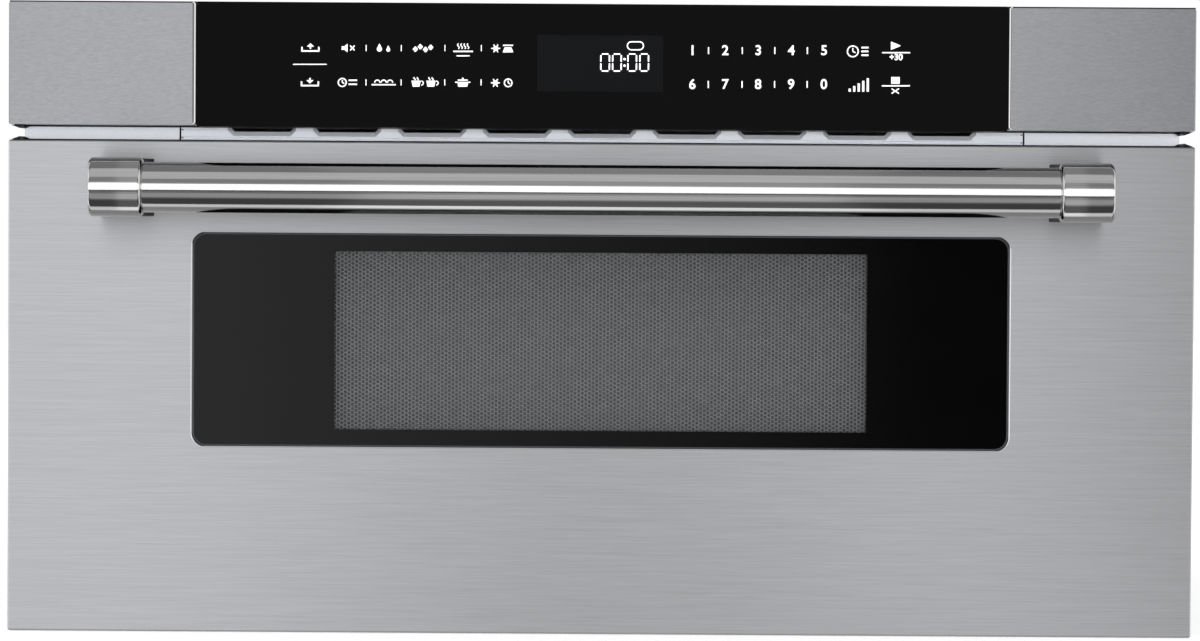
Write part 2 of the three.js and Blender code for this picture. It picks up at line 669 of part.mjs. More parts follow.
// Gearbox and motor, on a folded bracket whose two cheeks carry the pinion and keep the rack down on it.
function driveMotor() {
  const floor = SHEET + SEAT;
  const top = RACK_TOP + SEAT + CHEEK_SHEET;
  const alongY = around(PINION_Y, CHEEK_LENGTH);
  const cheek = (x0) => block([x0, x0 + CHEEK_SHEET], alongY, [floor, top]);
  const outside = CHEEK_INSIDE + CHEEK_SHEET;
  const foot = block([-outside, outside], alongY, [floor, floor + CHEEK_SHEET - 0.4]);
  const guide = block([-outside, outside], around(PINION_Y, CHEEK_LENGTH / 2), [top - CHEEK_SHEET, top]);
  const [boxWidth, boxDepth, boxHeight] = GEARBOX;
  const boxX = [outside - 0.5, outside + boxWidth];
  const boxShape = roundedRectangle(around(PINION_Y, boxDepth), [floor, floor + boxHeight], 6);
  const gearbox = prism(boxShape, "x", boxX, { curve: 3 });
  const motorX = outside + boxWidth - MOTOR_RADIUS;
  const motorY = [PINION_Y + boxDepth / 2 - 1, PINION_Y + boxDepth / 2 + MOTOR_LENGTH];
  const motorZ = floor + MOTOR_RADIUS + 2;
  const motor = rod(MOTOR_RADIUS, "y", motorY, [motorX, 0, motorZ]);
  const boss = rod(6, "y", [motorY[1] - 1, motorY[1] + 4], [motorX, 0, motorZ], 10);
  const saddle = block(around(motorX, 16), [motorY[0] + 12, motorY[1] - 12], [floor, floor + 4]);
  const bore = rod(
    PINION_SHAFT + SEAT,
    "x",
    [-outside - 1, outside + 12],
    [0, PINION_Y, PINION_HEIGHT],
    10,
  );
  return cut(join(cheek(-outside), cheek(CHEEK_INSIDE), foot, guide, gearbox, motor, boss, saddle), bore);
}

add(drawer, "drive_rack", driveRack(), greyPlastic);
add(model, "drive_pinion", drivePinion(), greyPlastic);
add(chassis, "drive_motor", driveMotor(), zincSheet);

// ---- Case ---------------------------------------------------------------------------------------------

// A column of slots in the plane across an axis, to cut through a panel.
function slotRow(axis, through, [u, v], count, [length, height] = CASE_SLOT) {
  return Array.from({ length: count }, (_, i) => {
    const [u0, u1] = around(u, length);
    const [v0, v1] = around(v + (i - (count - 1) / 2) * CASE_SLOT_PITCH, height);
    return prism(polygon([[u0, v0], [u1, v0], [u1, v1], [u0, v1]]), axis, through);
  });
}

// Upright bracket that a slide is screwed to, with three windows in it and its foot turned outwards.
function slideBracket(side) {
  const top = RAIL_HEIGHT_ABOVE_BASE + OUTER_BALL[1] + BALL_TRACK + 6;
  const alongY = [RAIL_FRONT, RAIL_FRONT + RAIL_LENGTH];
  const inner = RAIL_OUTER_FACE + SEAT;
  const outer = inner + BRACKET_SHEET;
  const outline = polygon([
    [alongY[0], SHEET / 2],
    [alongY[1], SHEET / 2],
    [alongY[1], top - BRACKET_CORNER],
    [alongY[1] - BRACKET_CORNER, top],
    [alongY[0] + BRACKET_CORNER, top],
    [alongY[0], top - BRACKET_CORNER],
  ]);
  const windows = [1, 3, 5].map((sixths) => {
    const opening = roundedRectangle(around(RAIL_FRONT + (RAIL_LENGTH * sixths) / 6, 90), [16, 64], 8);
    return prism(opening, "x", onSide(side, inner - 1, outer + 1), { curve: 1 });
  });
  const foot = block(
    onSide(side, outer - 1, outer + BRACKET_FOOT),
    alongY,
    [SHEET / 2, SHEET + BRACKET_SHEET],
  );
  return join(cut(prism(outline, "x", onSide(side, inner, outer)), ...windows), foot);
}

// Flat pan with its rear edge turned up, the two slide brackets, and air slots under the fan.
function basePan() {
  const pan = block(both(HALF_CASE), [CASE_FRONT, BACK_Y], [0, SHEET]);
  const edgeY = BACK_Y - REAR_EDGE_INSET;
  const rearEdge = block(
    both(HALF_CASE - REAR_EDGE_SHORT),
    [edgeY, edgeY + SHEET],
    [SHEET / 2, RETURN_WIDTH],
  );
  const airSlots = slotRow("z", [-1, SHEET + 1], [FAN_X, TRANSFORMER_Y], 5);
  return cut(join(pan, rearEdge, slideBracket(1), slideBracket(-1)), ...airSlots);
}

// Tray with all four edges turned in, and a field of air slots beside the fan.
function sidePanel() {
  const bottom = SHEET + SEAT;
  const top = CHASSIS_HEIGHT - SHEET - SEAT;
  const back = BACK_Y - SHEET - SEAT;
  const outer = block([HALF_CASE - RETURN_WIDTH, HALF_CASE], [CASE_FRONT, back], [bottom, top]);
  const inner = block(
    [HALF_CASE - RETURN_WIDTH - 1, HALF_CASE - SHEET],
    [CASE_FRONT + SHEET, back - SHEET],
    [bottom + SHEET, top - SHEET],
  );
  const slots = slotRow(
    "x",
    [HALF_CASE - SHEET - 1, HALF_CASE + 1],
    [TRANSFORMER_Y, CHASSIS_HEIGHT / 2],
    6,
  );
  return cut(outer, inner, ...slots);
}

function rearPanel() {
  const panel = block(
    both(HALF_CASE),
    [BACK_Y - SHEET, BACK_Y],
    [SHEET + SEAT, CHASSIS_HEIGHT - SHEET - SEAT],
  );
  const through = [BACK_Y - SHEET - 1, BACK_Y + 1];
  const slots = [TRANSFORMER_X, FAN_X, -FAN_X].flatMap((x) =>
    slotRow("y", through, [x, CHASSIS_HEIGHT / 2 + 20], 5, REAR_SLOT),
  );
  const glandHole = rod(GLAND_RADIUS + SEAT, "y", through, [GLAND_X, 0, GLAND_Z], 12);
  return cut(panel, ...slots, glandHole);
}

// Lid stiffened by three pressed beads that run from side to side.
function topCover() {
  const level = CHASSIS_HEIGHT - SHEET;
  const lid = block(both(HALF_CASE), [CASE_FRONT, BACK_Y], [level, CHASSIS_HEIGHT]);
  const half = BEAD_WIDTH / 2;
  const foot = half - BEAD_DEPTH;
  const beads = [];
  const grooves = [];
  for (const y of [-BEAD_PITCH, 0, BEAD_PITCH]) {
    const pressed = polygon([
      [y - half, level + 0.1],
      [y - foot, level - BEAD_DEPTH],
      [y + foot, level - BEAD_DEPTH],
      [y + half, level + 0.1],
    ]);
    beads.push(prism(pressed, "x", both(HALF_CASE - BEAD_SHORT)));
    const hollow = polygon([
      [y - half, CHASSIS_HEIGHT + 1],
      [y - half, CHASSIS_HEIGHT],
      [y - foot + 1, level - BEAD_DEPTH + SHEET],
      [y + foot - 1, level - BEAD_DEPTH + SHEET],
      [y + half, CHASSIS_HEIGHT],
      [y + half, CHASSIS_HEIGHT + 1],
    ]);
    grooves.push(prism(hollow, "x", both(HALF_CASE - BEAD_SHORT - SHEET)));
  }
  const slotPlace = [MAGNETRON_WIDTH, MAGNETRON_Y + 30];
  const slots = slotRow("z", [level - 1, CHASSIS_HEIGHT + 1], slotPlace, 6, WIDE_SLOT);
  return cut(join(lid, ...beads), ...grooves, ...slots);
}

// Front plate: openings for the cavity, the grille, the slides, the rack and the interlock plungers. Its
// outer strips stand a step further forward, and rest on the cabinet with a row of screw holes in each.
function frontFlange() {
  const plate = block(both(FLANGE_WIDTH / 2), [FLANGE_FRONT, FLANGE_BACK], [-FLANGE_DROP, FLANGE_TOP]);
  const through = [FLANGE_FRONT - 1, FLANGE_BACK + 1];
  const cavity = block(both(CAVITY_WIDTH / 2), through, [CAVITY_BOTTOM, CAVITY_TOP]);
  const grille = block(
    both(GRILLE_WIDTH / 2 + GRILLE_SEAM),
    through,
    [GRILLE_BOTTOM - GRILLE_SEAM, GRILLE_TOP + GRILLE_SEAM],
  );
  const railHalf = OUTER_BALL[1] + BALL_TRACK + RAIL_SHEET / 2 + RAIL_PORT_GAP;
  const rack = block(
    both(GEAR_WIDTH / 2 + CHEEK_GAP),
    through,
    [PITCH_LINE - GEAR_MODULE - 3, RACK_TOP + 2],
  );
  const tools = [cavity, grille, rack];
  for (const side of [-1, 1]) {
    const railSpan = onSide(
      side,
      RAIL_OUTER_FACE + RAIL_PORT_GAP,
      RAIL_OUTER_FACE - RAIL_WIDTH - RAIL_PORT_GAP,
    );
    tools.push(block(railSpan, through, around(RAIL_HEIGHT_ABOVE_BASE, 2 * railHalf)));
    const stripX = onSide(side, HALF_CASE + SEAT, FLANGE_WIDTH / 2 + 1);
    tools.push(
      block(stripX, [FLANGE_BACK - FLANGE_STEP, FLANGE_BACK + 1], [-FLANGE_DROP - 1, FLANGE_TOP + 1]),
    );
    tools.push(rod(PLUNGER_RADIUS + 1, "y", through, [side * SWITCH_X, 0, SWITCH_Z], 10));
    const holeX = (side * (HALF_CASE + FLANGE_WIDTH / 2)) / 2;
    const lowest = -FLANGE_DROP + FLANGE_HOLE_INSET[0];
    const pitch = (FLANGE_TOP - FLANGE_HOLE_INSET[1] - lowest) / (FLANGE_HOLES - 1);
    for (let i = 0; i < FLANGE_HOLES; i++) {
      tools.push(rod(FLANGE_HOLE_RADIUS, "y", through, [holeX, 0, lowest + i * pitch], 8));
    }
  }
  return cut(plate, ...tools);
}

// ---- Exhaust grille and duct --------------------------------------------------------------------------

// One slot of the grille, its lower corners cut off and its edge opened out towards the front.
function grilleSlot(x) {
  const half = SLOT_WIDTH / 2;
  const high = SLOT_BOTTOM + SLOT_HEIGHT;
  const outline = polygon([
    [x - half, high],
    [x - half, SLOT_BOTTOM + SLOT_CORNER],
    [x - half + SLOT_CORNER, SLOT_BOTTOM],
    [x + half - SLOT_CORNER, SLOT_BOTTOM],
    [x + half, SLOT_BOTTOM + SLOT_CORNER],
    [x + half, high],
  ]);
  const flare = new THREE.ExtrudeGeometry(outline, {
    depth: 1,
    bevelThickness: SLOT_BEVEL_DEPTH,
    bevelSize: SLOT_BEVEL,
    bevelSegments: 1,
  });
  const opened = solid(facing(flare, "y").translate(0, FLANGE_FRONT, 0));
  return join(prism(outline, "y", [FLANGE_FRONT - 1, FLANGE_BACK + 1]), opened);
}

// Plate let into the flange: slots in a row, louvre blades behind them, and a raised shoulder at each end.
function ventGrille() {
  const plate = block(both(GRILLE_WIDTH / 2), [FLANGE_FRONT, FLANGE_BACK], [GRILLE_BOTTOM, GRILLE_TOP]);
  const slots = Array.from({ length: GRILLE_SLOTS }, (_, i) =>
    grilleSlot((i - (GRILLE_SLOTS - 1) / 2) * GRILLE_PITCH),
  );
  const bladeY = [FLANGE_BACK - 0.5, FLANGE_BACK + BLADE_DEPTH];
  const blades = Array.from({ length: BLADE_COUNT }, (_, i) => {
    const low = SLOT_BOTTOM + BLADE_START + i * BLADE_PITCH;
    const section = polygon([
      [bladeY[0], low],
      [bladeY[1], low + BLADE_FALL],
      [bladeY[1], low + BLADE_FALL + BLADE_THICKNESS],
      [bladeY[0], low + BLADE_THICKNESS],
    ]);
    return prism(section, "x", both(GRILLE_WIDTH / 2 - 4));
  });
  const shoulders = [-1, 1].map((side) => {
    const ends = onSide(side, GRILLE_WIDTH / 2, GRILLE_WIDTH / 2 - SHOULDER_WIDTH);
    const top = PANEL_BOTTOM - RIM_PROUD - SEAT;
    return block(ends, [FLANGE_FRONT - SHOULDER_RISE, FLANGE_FRONT + 0.2], [SLOT_BOTTOM + 0.6, top]);
  });
  return join(cut(plate, ...slots), ...blades, ...shoulders);
}

// Open sheet channel that leads the warm air from the top of the case to the grille.
function exhaustDuct() {
  const y = [CASE_FRONT, CASE_FRONT + DUCT_LENGTH];
  const outside = block(both(GRILLE_WIDTH / 2 - 1), y, [GRILLE_BOTTOM + 1, GRILLE_TOP - 1]);
  const inside = block(
    both(GRILLE_WIDTH / 2 - 1 - DUCT_SHEET),
    [y[0] - 1, y[1] + 1],
    [GRILLE_BOTTOM + 1 + DUCT_SHEET, GRILLE_TOP - 1 - DUCT_SHEET],
  );
  const flange = block(
    both(GRILLE_WIDTH / 2 + 8),
    [y[0], y[0] + DUCT_SHEET],
    [GRILLE_BOTTOM - 8, GRILLE_TOP + 8],
  );
  const mouth = block(
    both(GRILLE_WIDTH / 2 - 1 - DUCT_SHEET),
    [y[0] - 1, y[0] + 2],
    [GRILLE_BOTTOM + 1 + DUCT_SHEET, GRILLE_TOP - 1 - DUCT_SHEET],
  );
  return join(cut(outside, inside), cut(flange, mouth));
}

// ---- Cavity -------------------------------------------------------------------------------------------

// Box open to the front, with the stirrer's round dome pressed up out of its ceiling.
function cavityShell() {
  const halfIn = CAVITY_WIDTH / 2;
  const outside = block(
    both(halfIn + SHEET),
    [CASE_FRONT, CAVITY_BACK + SHEET],
    [CAVITY_BOTTOM - SHEET, CAVITY_TOP + SHEET],
  );
  const inside = block(both(halfIn), [CASE_FRONT - 1, CAVITY_BACK], [CAVITY_BOTTOM, CAVITY_TOP]);
  const dome = (extra, from, to) =>
    turned(
      [[0, from], [DOME_RADIUS + extra, from], [DOME_RADIUS - DOME_TAPER + extra, to], [0, to]],
      "z",
      [0, STIRRER_Y, 0],
      20,
    );
  const domeOut = dome(SHEET, CAVITY_TOP, DOME_TOP);
  const domeIn = dome(0, CAVITY_TOP - 0.5, CAVITY_TOP + DOME_HEIGHT);
  const port = block(
    both(GUIDE_PORT_WIDTH / 2),
    around(STIRRER_Y, GUIDE_PORT_LENGTH),
    [DOME_TOP - SHEET - 1, DOME_TOP + 1],
  );
  const steamHoles = [];
  for (let i = 0; i < 4; i++) {
    for (let j = 0; j < 2; j++) {
      const place = [-150 + i * 9, 0, CAVITY_TOP - 30 - j * 9];
      steamHoles.push(rod(2.5, "y", [CAVITY_BACK - 1, CAVITY_BACK + SHEET + 1], place, 6));
    }
  }
  const lampHoles = [];
  for (let i = 0; i < 6; i++) {
    const place = [0, LAMP_Y + ((i % 3) - 1) * 8, LAMP_Z + (Math.floor(i / 3) - 0.5) * 8];
    lampHoles.push(rod(2.2, "x", [halfIn - 1, halfIn + SHEET + 1], place, 6));
  }
  return cut(join(outside, domeOut), inside, domeIn, port, ...steamHoles, ...lampHoles);
}

function stirrerCover() {
  const half = DOME_RADIUS + STIRRER_COVER_MARGIN;
  const top = CAVITY_TOP - SEAT;
  const outline = roundedRectangle(both(half), around(STIRRER_Y, 2 * half), 10);
  return prism(outline, "z", [top - STIRRER_COVER, top], { curve: 3 });
}

// Two crossed, tilted vanes on a hub, hung from a shaft that goes up through the waveguide to its motor.
function stirrerBlade() {
  const middle = CAVITY_TOP + DOME_HEIGHT / 2 - 2;
  const hub = rod(10, "z", [middle - 5, middle + 5], [0, STIRRER_Y, 0]);
  const shaft = rod(STIRRER_SHAFT, "z", [middle, GUIDE_TOP + SEAT + 8], [0, STIRRER_Y, 0], 10);
  const vanes = [0, 90, 180, 270].map((heading) => {
    const vane = new THREE.ExtrudeGeometry(roundedRectangle([6, BLADE_RADIUS], [-15, 15], 6), {
      depth: BLADE_SHEET,
      bevelEnabled: false,
      curveSegments: 1,
    });
    vane.rotateX(THREE.MathUtils.degToRad(BLADE_TILT));
    vane.rotateZ(THREE.MathUtils.degToRad(heading));
    return solid(vane.translate(0, STIRRER_Y, middle - BLADE_SHEET / 2));
  });
  return join(hub, shaft, ...vanes);
}

function stirrerMotor() {
  const floor = GUIDE_TOP + SEAT;
  const place = [0, STIRRER_Y, 0];
  const can = turned(
    [
      [0, floor],
      [STIRRER_MOTOR_RADIUS, floor],
      [STIRRER_MOTOR_RADIUS, floor + STIRRER_MOTOR_HEIGHT - 2],
      [STIRRER_MOTOR_RADIUS - 2, floor + STIRRER_MOTOR_HEIGHT],
      [0, floor + STIRRER_MOTOR_HEIGHT],
    ],
    "z",
    place,
  );
  const ears = prism(
    roundedRectangle(both(STIRRER_MOTOR_RADIUS + 10), around(STIRRER_Y, 14), 6),
    "z",
    [floor, floor + 1.5],
    { curve: 2 },
  );
  const bore = rod(STIRRER_SHAFT + SEAT, "z", [floor - 1, floor + 10], place, 10);
  const screwHoles = [-1, 1].map((side) =>
    rod(2, "z", [floor - 1, floor + 3], [side * (STIRRER_MOTOR_RADIUS + 5), STIRRER_Y, 0], 6),
  );
  return cut(join(can, ears), bore, ...screwHoles);
}

// Rectangular waveguide from over the magnetron to the stirrer's dome.
function waveguide() {
  const half = GUIDE_WIDTH / 2;
  const outside = block(both(half), [GUIDE_FRONT, GUIDE_REAR], [GUIDE_BOTTOM, GUIDE_TOP]);
  const inside = block(
    both(half - GUIDE_SHEET),
    [GUIDE_FRONT + GUIDE_SHEET, GUIDE_REAR - GUIDE_SHEET],
    [GUIDE_BOTTOM + GUIDE_SHEET, GUIDE_TOP - GUIDE_SHEET],
  );
  const port = block(
    both(GUIDE_PORT_WIDTH / 2),
    around(STIRRER_Y, GUIDE_PORT_LENGTH),
    [GUIDE_BOTTOM - 1, GUIDE_BOTTOM + GUIDE_SHEET + 1],
  );
  const shaftHole = rod(STIRRER_SHAFT + 1.5, "z", [GUIDE_TOP - 3, GUIDE_TOP + 1], [0, STIRRER_Y, 0], 10);
  const antennaHole = rod(
    ANTENNA_RADIUS + 2,
    "z",
    [GUIDE_BOTTOM - 1, GUIDE_BOTTOM + 3],
    [0, MAGNETRON_Y, 0],
    12,
  );
  const lip = block(both(half + 8), [GUIDE_FRONT + 6, 0], [GUIDE_BOTTOM, GUIDE_BOTTOM + GUIDE_SHEET]);
  return cut(join(outside, lip), inside, port, shaftHole, antennaHole);
}

// Anode with its stack of cooling fins between the two plates of the yoke, over the shielded filter box.
function magnetron() {
  const top = GUIDE_BOTTOM - SEAT;
  const bottom = top - MAGNETRON_HEIGHT;
  const alongX = both(MAGNETRON_WIDTH / 2);
  const alongY = around(MAGNETRON_Y, MAGNETRON_DEPTH);
  const plates = [
    block(alongX, alongY, [top - MAGNETRON_YOKE, top]),
    block(alongX, alongY, [bottom, bottom + MAGNETRON_YOKE]),
  ];
  const sides = [-1, 1].map((side) =>
    block(
      alongX,
      around(MAGNETRON_Y + (side * (MAGNETRON_DEPTH - MAGNETRON_YOKE)) / 2, MAGNETRON_YOKE),
      [bottom, top],
    ),
  );
  const anode = rod(ANODE_RADIUS, "z", [bottom, top], [0, MAGNETRON_Y, 0], 10);
  const pitch = (MAGNETRON_HEIGHT - 2 * MAGNETRON_YOKE) / (MAGNETRON_FINS + 1);
  const fins = Array.from({ length: MAGNETRON_FINS }, (_, i) => {
    const z = bottom + MAGNETRON_YOKE + (i + 1) * pitch;
    return block(
      both(MAGNETRON_WIDTH / 2 - 6),
      around(MAGNETRON_Y, MAGNETRON_DEPTH - MAGNETRON_YOKE),
      around(z, MAGNETRON_FIN),
    );
  });
  const antenna = turned(
    [
      [0, top - 1],
      [ANTENNA_RADIUS, top - 1],
      [ANTENNA_RADIUS, top + ANTENNA_HEIGHT - 3],
      [ANTENNA_RADIUS - 3, top + ANTENNA_HEIGHT],
      [0, top + ANTENNA_HEIGHT],
    ],
    "z",
    [0, MAGNETRON_Y, 0],
    12,
  );
  const [boxWidth, boxDepth, boxHeight] = FILTER_BOX;
  const filterBox = block(
    both(boxWidth / 2),
    around(MAGNETRON_Y, boxDepth),
    [bottom - boxHeight, bottom + 1],
  );
  return join(...plates, ...sides, anode, ...fins, antenna, filterBox);
}

// ---- Rear compartment ---------------------------------------------------------------------------------

// Laminated core with a winding bulging out of each of its two windows, on a foot plate.
function transformer() {
  const [width, depth, height] = TRANSFORMER_CORE;
  const floor = SHEET + SEAT;
  const x = around(TRANSFORMER_X, width);
  const y = around(TRANSFORMER_Y, depth);
  const foot = block(
    around(TRANSFORMER_X, width + 28),
    around(TRANSFORMER_Y, depth - 10),
    [floor, floor + TRANSFORMER_FOOT],
  );
  const core = block(x, y, [floor, floor + height]);
  const winding = (offset, size) =>
    prism(
      roundedRectangle(around(TRANSFORMER_X, width - 34), around(floor + height / 2 + offset, size), 8),
      "y",
      around(TRANSFORMER_Y, depth + 34),
      { curve: 1 },
    );
  const holes = [-1, 1].map((side) =>
    rod(
      2.6,
      "z",
      [0, floor + TRANSFORMER_FOOT + 1],
      [TRANSFORMER_X + side * (width / 2 + 8), TRANSFORMER_Y, 0],
      8,
    ),
  );
  return cut(join(foot, core, winding(-14, 22), winding(13, 26)), ...holes);
}

// Oval can with two blade terminals.
function capacitor() {
  const [width, depth, height] = CAPACITOR_SIZE;
  const floor = SHEET + SEAT;
  const oval = roundedRectangle(around(CAPACITOR_X, width), around(CAPACITOR_Y, depth), depth / 2 - 0.5);
  const can = prism(oval, "z", [floor, floor + height], { curve: 3 });
  const blades = [-1, 1].map((side) =>
    block(
      around(CAPACITOR_X + side * 13, 6),
      around(CAPACITOR_Y, 0.8),
      [floor + height - 1, floor + height + 12],
    ),
  );
  return join(can, ...blades);
}

// Axial fan: square shroud with a round throat and three arms that hold the motor plate.
const FAN_Y = CAVITY_BACK + SHEET + SEAT + FAN_SIZE / 2;
const FAN_BACK = FAN_X - FAN_DEPTH / 2;
function fanHousing() {
  const x = [FAN_BACK, FAN_BACK + FAN_DEPTH];
  const centre = [0, FAN_Y, FAN_HEIGHT];
  const square = roundedRectangle(around(FAN_Y, FAN_SIZE), around(FAN_HEIGHT, FAN_SIZE), 7);
  const shroud = cut(
    prism(square, "x", x, { curve: 1 }),
    rod(FAN_BORE, "x", [x[0] - 1, x[1] + 1], centre, 24),
  );
  const plate = rod(FAN_MOTOR_RADIUS, "x", [x[0], x[0] + FAN_PLATE], centre);
  const arms = [90, 210, 330].map((heading) => {
    const arm = new THREE.BoxGeometry(FAN_PLATE, FAN_ARM, FAN_BORE - 6);
    arm.translate(x[0] + FAN_PLATE / 2, 0, (FAN_BORE - 6) / 2 + 9);
    arm.rotateX(THREE.MathUtils.degToRad(heading - 90));
    return solid(arm.translate(0, FAN_Y, FAN_HEIGHT));
  });
  return cut(join(shroud, plate, ...arms), rod(4, "x", [x[0] - 1, x[0] + FAN_PLATE + 1], centre, 10));
}

function fanImpeller() {
  const front = FAN_BACK + FAN_PLATE + 4;
  const end = front + FAN_HUB_LENGTH;
  const centre = [0, FAN_Y, FAN_HEIGHT];
  const profile = [
    [0, front],
    [FAN_HUB, front],
    [FAN_HUB, end - FAN_HUB_CHAMFER - 1],
    [FAN_HUB - FAN_HUB_CHAMFER, end],
    [0, end],
  ];
  const hub = turned(profile, "x", centre);
  const shaft = rod(FAN_SHAFT, "x", [FAN_BACK - 12, front + 2], centre, 8);
  const sweep = rod(FAN_BORE - FAN_RUNNING_GAP, "x", [FAN_BACK, FAN_BACK + FAN_DEPTH], centre, 24);
  const outline = roundedRectangle([FAN_HUB - 5, FAN_BORE], both(FAN_BLADE_WIDTH / 2), 7);
  const blades = Array.from({ length: FAN_BLADES }, (_, i) => {
    const blade = new THREE.ExtrudeGeometry(outline, {
      depth: FAN_BLADE_SHEET,
      bevelEnabled: false,
      curveSegments: 1,
    });
    blade.rotateX(THREE.MathUtils.degToRad(FAN_BLADE_PITCH));
    blade.rotateZ((i * 2 * Math.PI) / FAN_BLADES);
    facing(blade, "x").translate(front + FAN_HUB_LENGTH / 2, FAN_Y, FAN_HEIGHT);
    return solid(blade).intersect(sweep);
  });
  return join(hub, shaft, ...blades);
}

function fanMotor() {
  const back = FAN_BACK - SEAT - FAN_MOTOR_LENGTH;
  const centre = [0, FAN_Y, FAN_HEIGHT];
  const front = FAN_BACK - SEAT;
  const can = turned(
    [
      [0, back],
      [FAN_MOTOR_RADIUS - 3, back],
      [FAN_MOTOR_RADIUS, back + 3],
      [FAN_MOTOR_RADIUS, front],
      [0, front],
    ],
    "x",
    centre,
  );
  return cut(can, rod(FAN_SHAFT + SEAT, "x", [FAN_BACK - 13, front + 1], centre, 8));
}

// Lamp holder on the outside of the cavity wall, with the bulb behind the wall's ring of holes.
function ovenLamp() {
  const x0 = CAVITY_WIDTH / 2 + SHEET + SEAT;
  const holder = block([x0, x0 + LAMP_SIZE], around(LAMP_Y, LAMP_SIZE), around(LAMP_Z, LAMP_SIZE));
  const hollow = block(
    [x0 - 1, x0 + LAMP_SIZE - 8],
    around(LAMP_Y, LAMP_SIZE - 3),
    around(LAMP_Z, LAMP_SIZE - 3),
  );
  const bulbBase = rod(6, "x", [x0 + LAMP_SIZE - 9, x0 + LAMP_SIZE + 10], [0, LAMP_Y, LAMP_Z], 10);
  const bulb = turned(
    [
      [0, x0 + 4],
      [6, x0 + 7],
      [9, x0 + 13],
      [7, x0 + 20],
      [4, x0 + LAMP_SIZE - 8],
      [0, x0 + LAMP_SIZE - 8],
    ],
    "x",
    [0, LAMP_Y, LAMP_Z],
    10,
  );
  return join(cut(holder, hollow), bulbBase, bulb);
}

// Small board with a wound ring and two film capacitors.
function noiseFilter() {
  const [width, depth, thickness] = FILTER_BOARD;
  const floor = SHEET + SEAT;
  const underside = floor + FILTER_STAND;
  const deck = underside + thickness;
  const board = block(around(FILTER_X, width), around(FILTER_Y, depth), [underside, deck]);
  const legX = width / 2 - FILTER_LEG_INSET;
  const legY = depth / 2 - FILTER_LEG_INSET;
  const legs = [[-1, -1], [-1, 1], [1, -1], [1, 1]].map(([i, j]) =>
    rod(FILTER_LEG, "z", [floor, underside + 1], [FILTER_X + i * legX, FILTER_Y + j * legY, 0], 6),
  );
  const [radius, winding] = FILTER_RING;
  const section = arc([radius, deck + winding - 0.5], winding, -90, 270, 6);
  const ring = turned(section, "z", [FILTER_X + FILTER_RING_X, FILTER_Y, 0], 10);
  const [long, wide, high] = FILTER_BLOCK;
  const [aside, apart] = FILTER_BLOCKS;
  const blocks = [-1, 1].map((side) => {
    const y = FILTER_Y + (side * apart) / 2;
    return block(around(FILTER_X + aside, long), around(y, wide), [deck - 0.5, deck + high]);
  });
  return join(board, ...legs, ring, ...blocks);
}

// Cord bush through the rear panel: a collar outside, a ribbed neck inside.
function cordGland() {
  const inside = BACK_Y - SHEET - SEAT;
  const outside = BACK_Y + SEAT;
  const place = [GLAND_X, 0, GLAND_Z];
  const neck = rod(GLAND_RADIUS, "y", [inside - 8, outside + 1], place, 12);
  const nut = rod(GLAND_RADIUS + 5, "y", [inside - 6, inside], place, 6);
  const collar = rod(GLAND_RADIUS + 3, "y", [outside, outside + 4], place);
  return cut(join(neck, nut, collar), rod(GLAND_BORE, "y", [inside - 9, outside + 5], place, 10));
}

// ---- Control panel ------------------------------------------------------------------------------------

const PANEL_BACK = FLANGE_FRONT - SEAT;
const GLASS_FRONT = FACE_Y + 0.2;
const GLASS_BACK = GLASS_FRONT + TOUCH_GLASS_THICKNESS;
const END_INNER = TOUCH_GLASS_WIDTH / 2 + TOUCH_GLASS_GAP;

// The dark tabs at both ends of a moulding's rim, tapered towards the sides of the appliance. They are joined
// to the rim, and reach forward over the edge of the stainless skin.
function cornerTabs(level, direction, rimY) {
  const outer = HALF_FRONT - 0.2;
  const tip = level + direction * TAB_HEIGHT;
  const tab = (root, y) => {
    const slope = [outer, level + direction * Math.max(root, 0)];
    const foot = level + direction * root;
    const right = [
      [outer, foot],
      slope,
      [outer - TAB_SLOPE, tip],
      [outer - TAB_WIDTH, tip],
      [outer - TAB_WIDTH, foot],
    ];
    const left = right.map(([x, z]) => [-x, z]);
    return [right, left].map((points) => {
      const shape = polygon(points);
      return prism(
        THREE.ShapeUtils.isClockWise(shape.getPoints()) ? polygon(points.reverse()) : shape,
        "y",
        y,
      );
    });
  };
  return [...tab(-1, rimY), ...tab(SEAT, [FACE_Y + TAB_SETBACK, RIM_FRONT + 1])];
}

function touchGlass() {
  const outline = roundedRectangle(
    both(TOUCH_GLASS_WIDTH / 2),
    [PANEL_BOTTOM - TOUCH_GLASS_DROP, PANEL_TOP],
    0.8,
  );
  return prism(outline, "y", [GLASS_FRONT, GLASS_BACK], { curve: 2 });
}

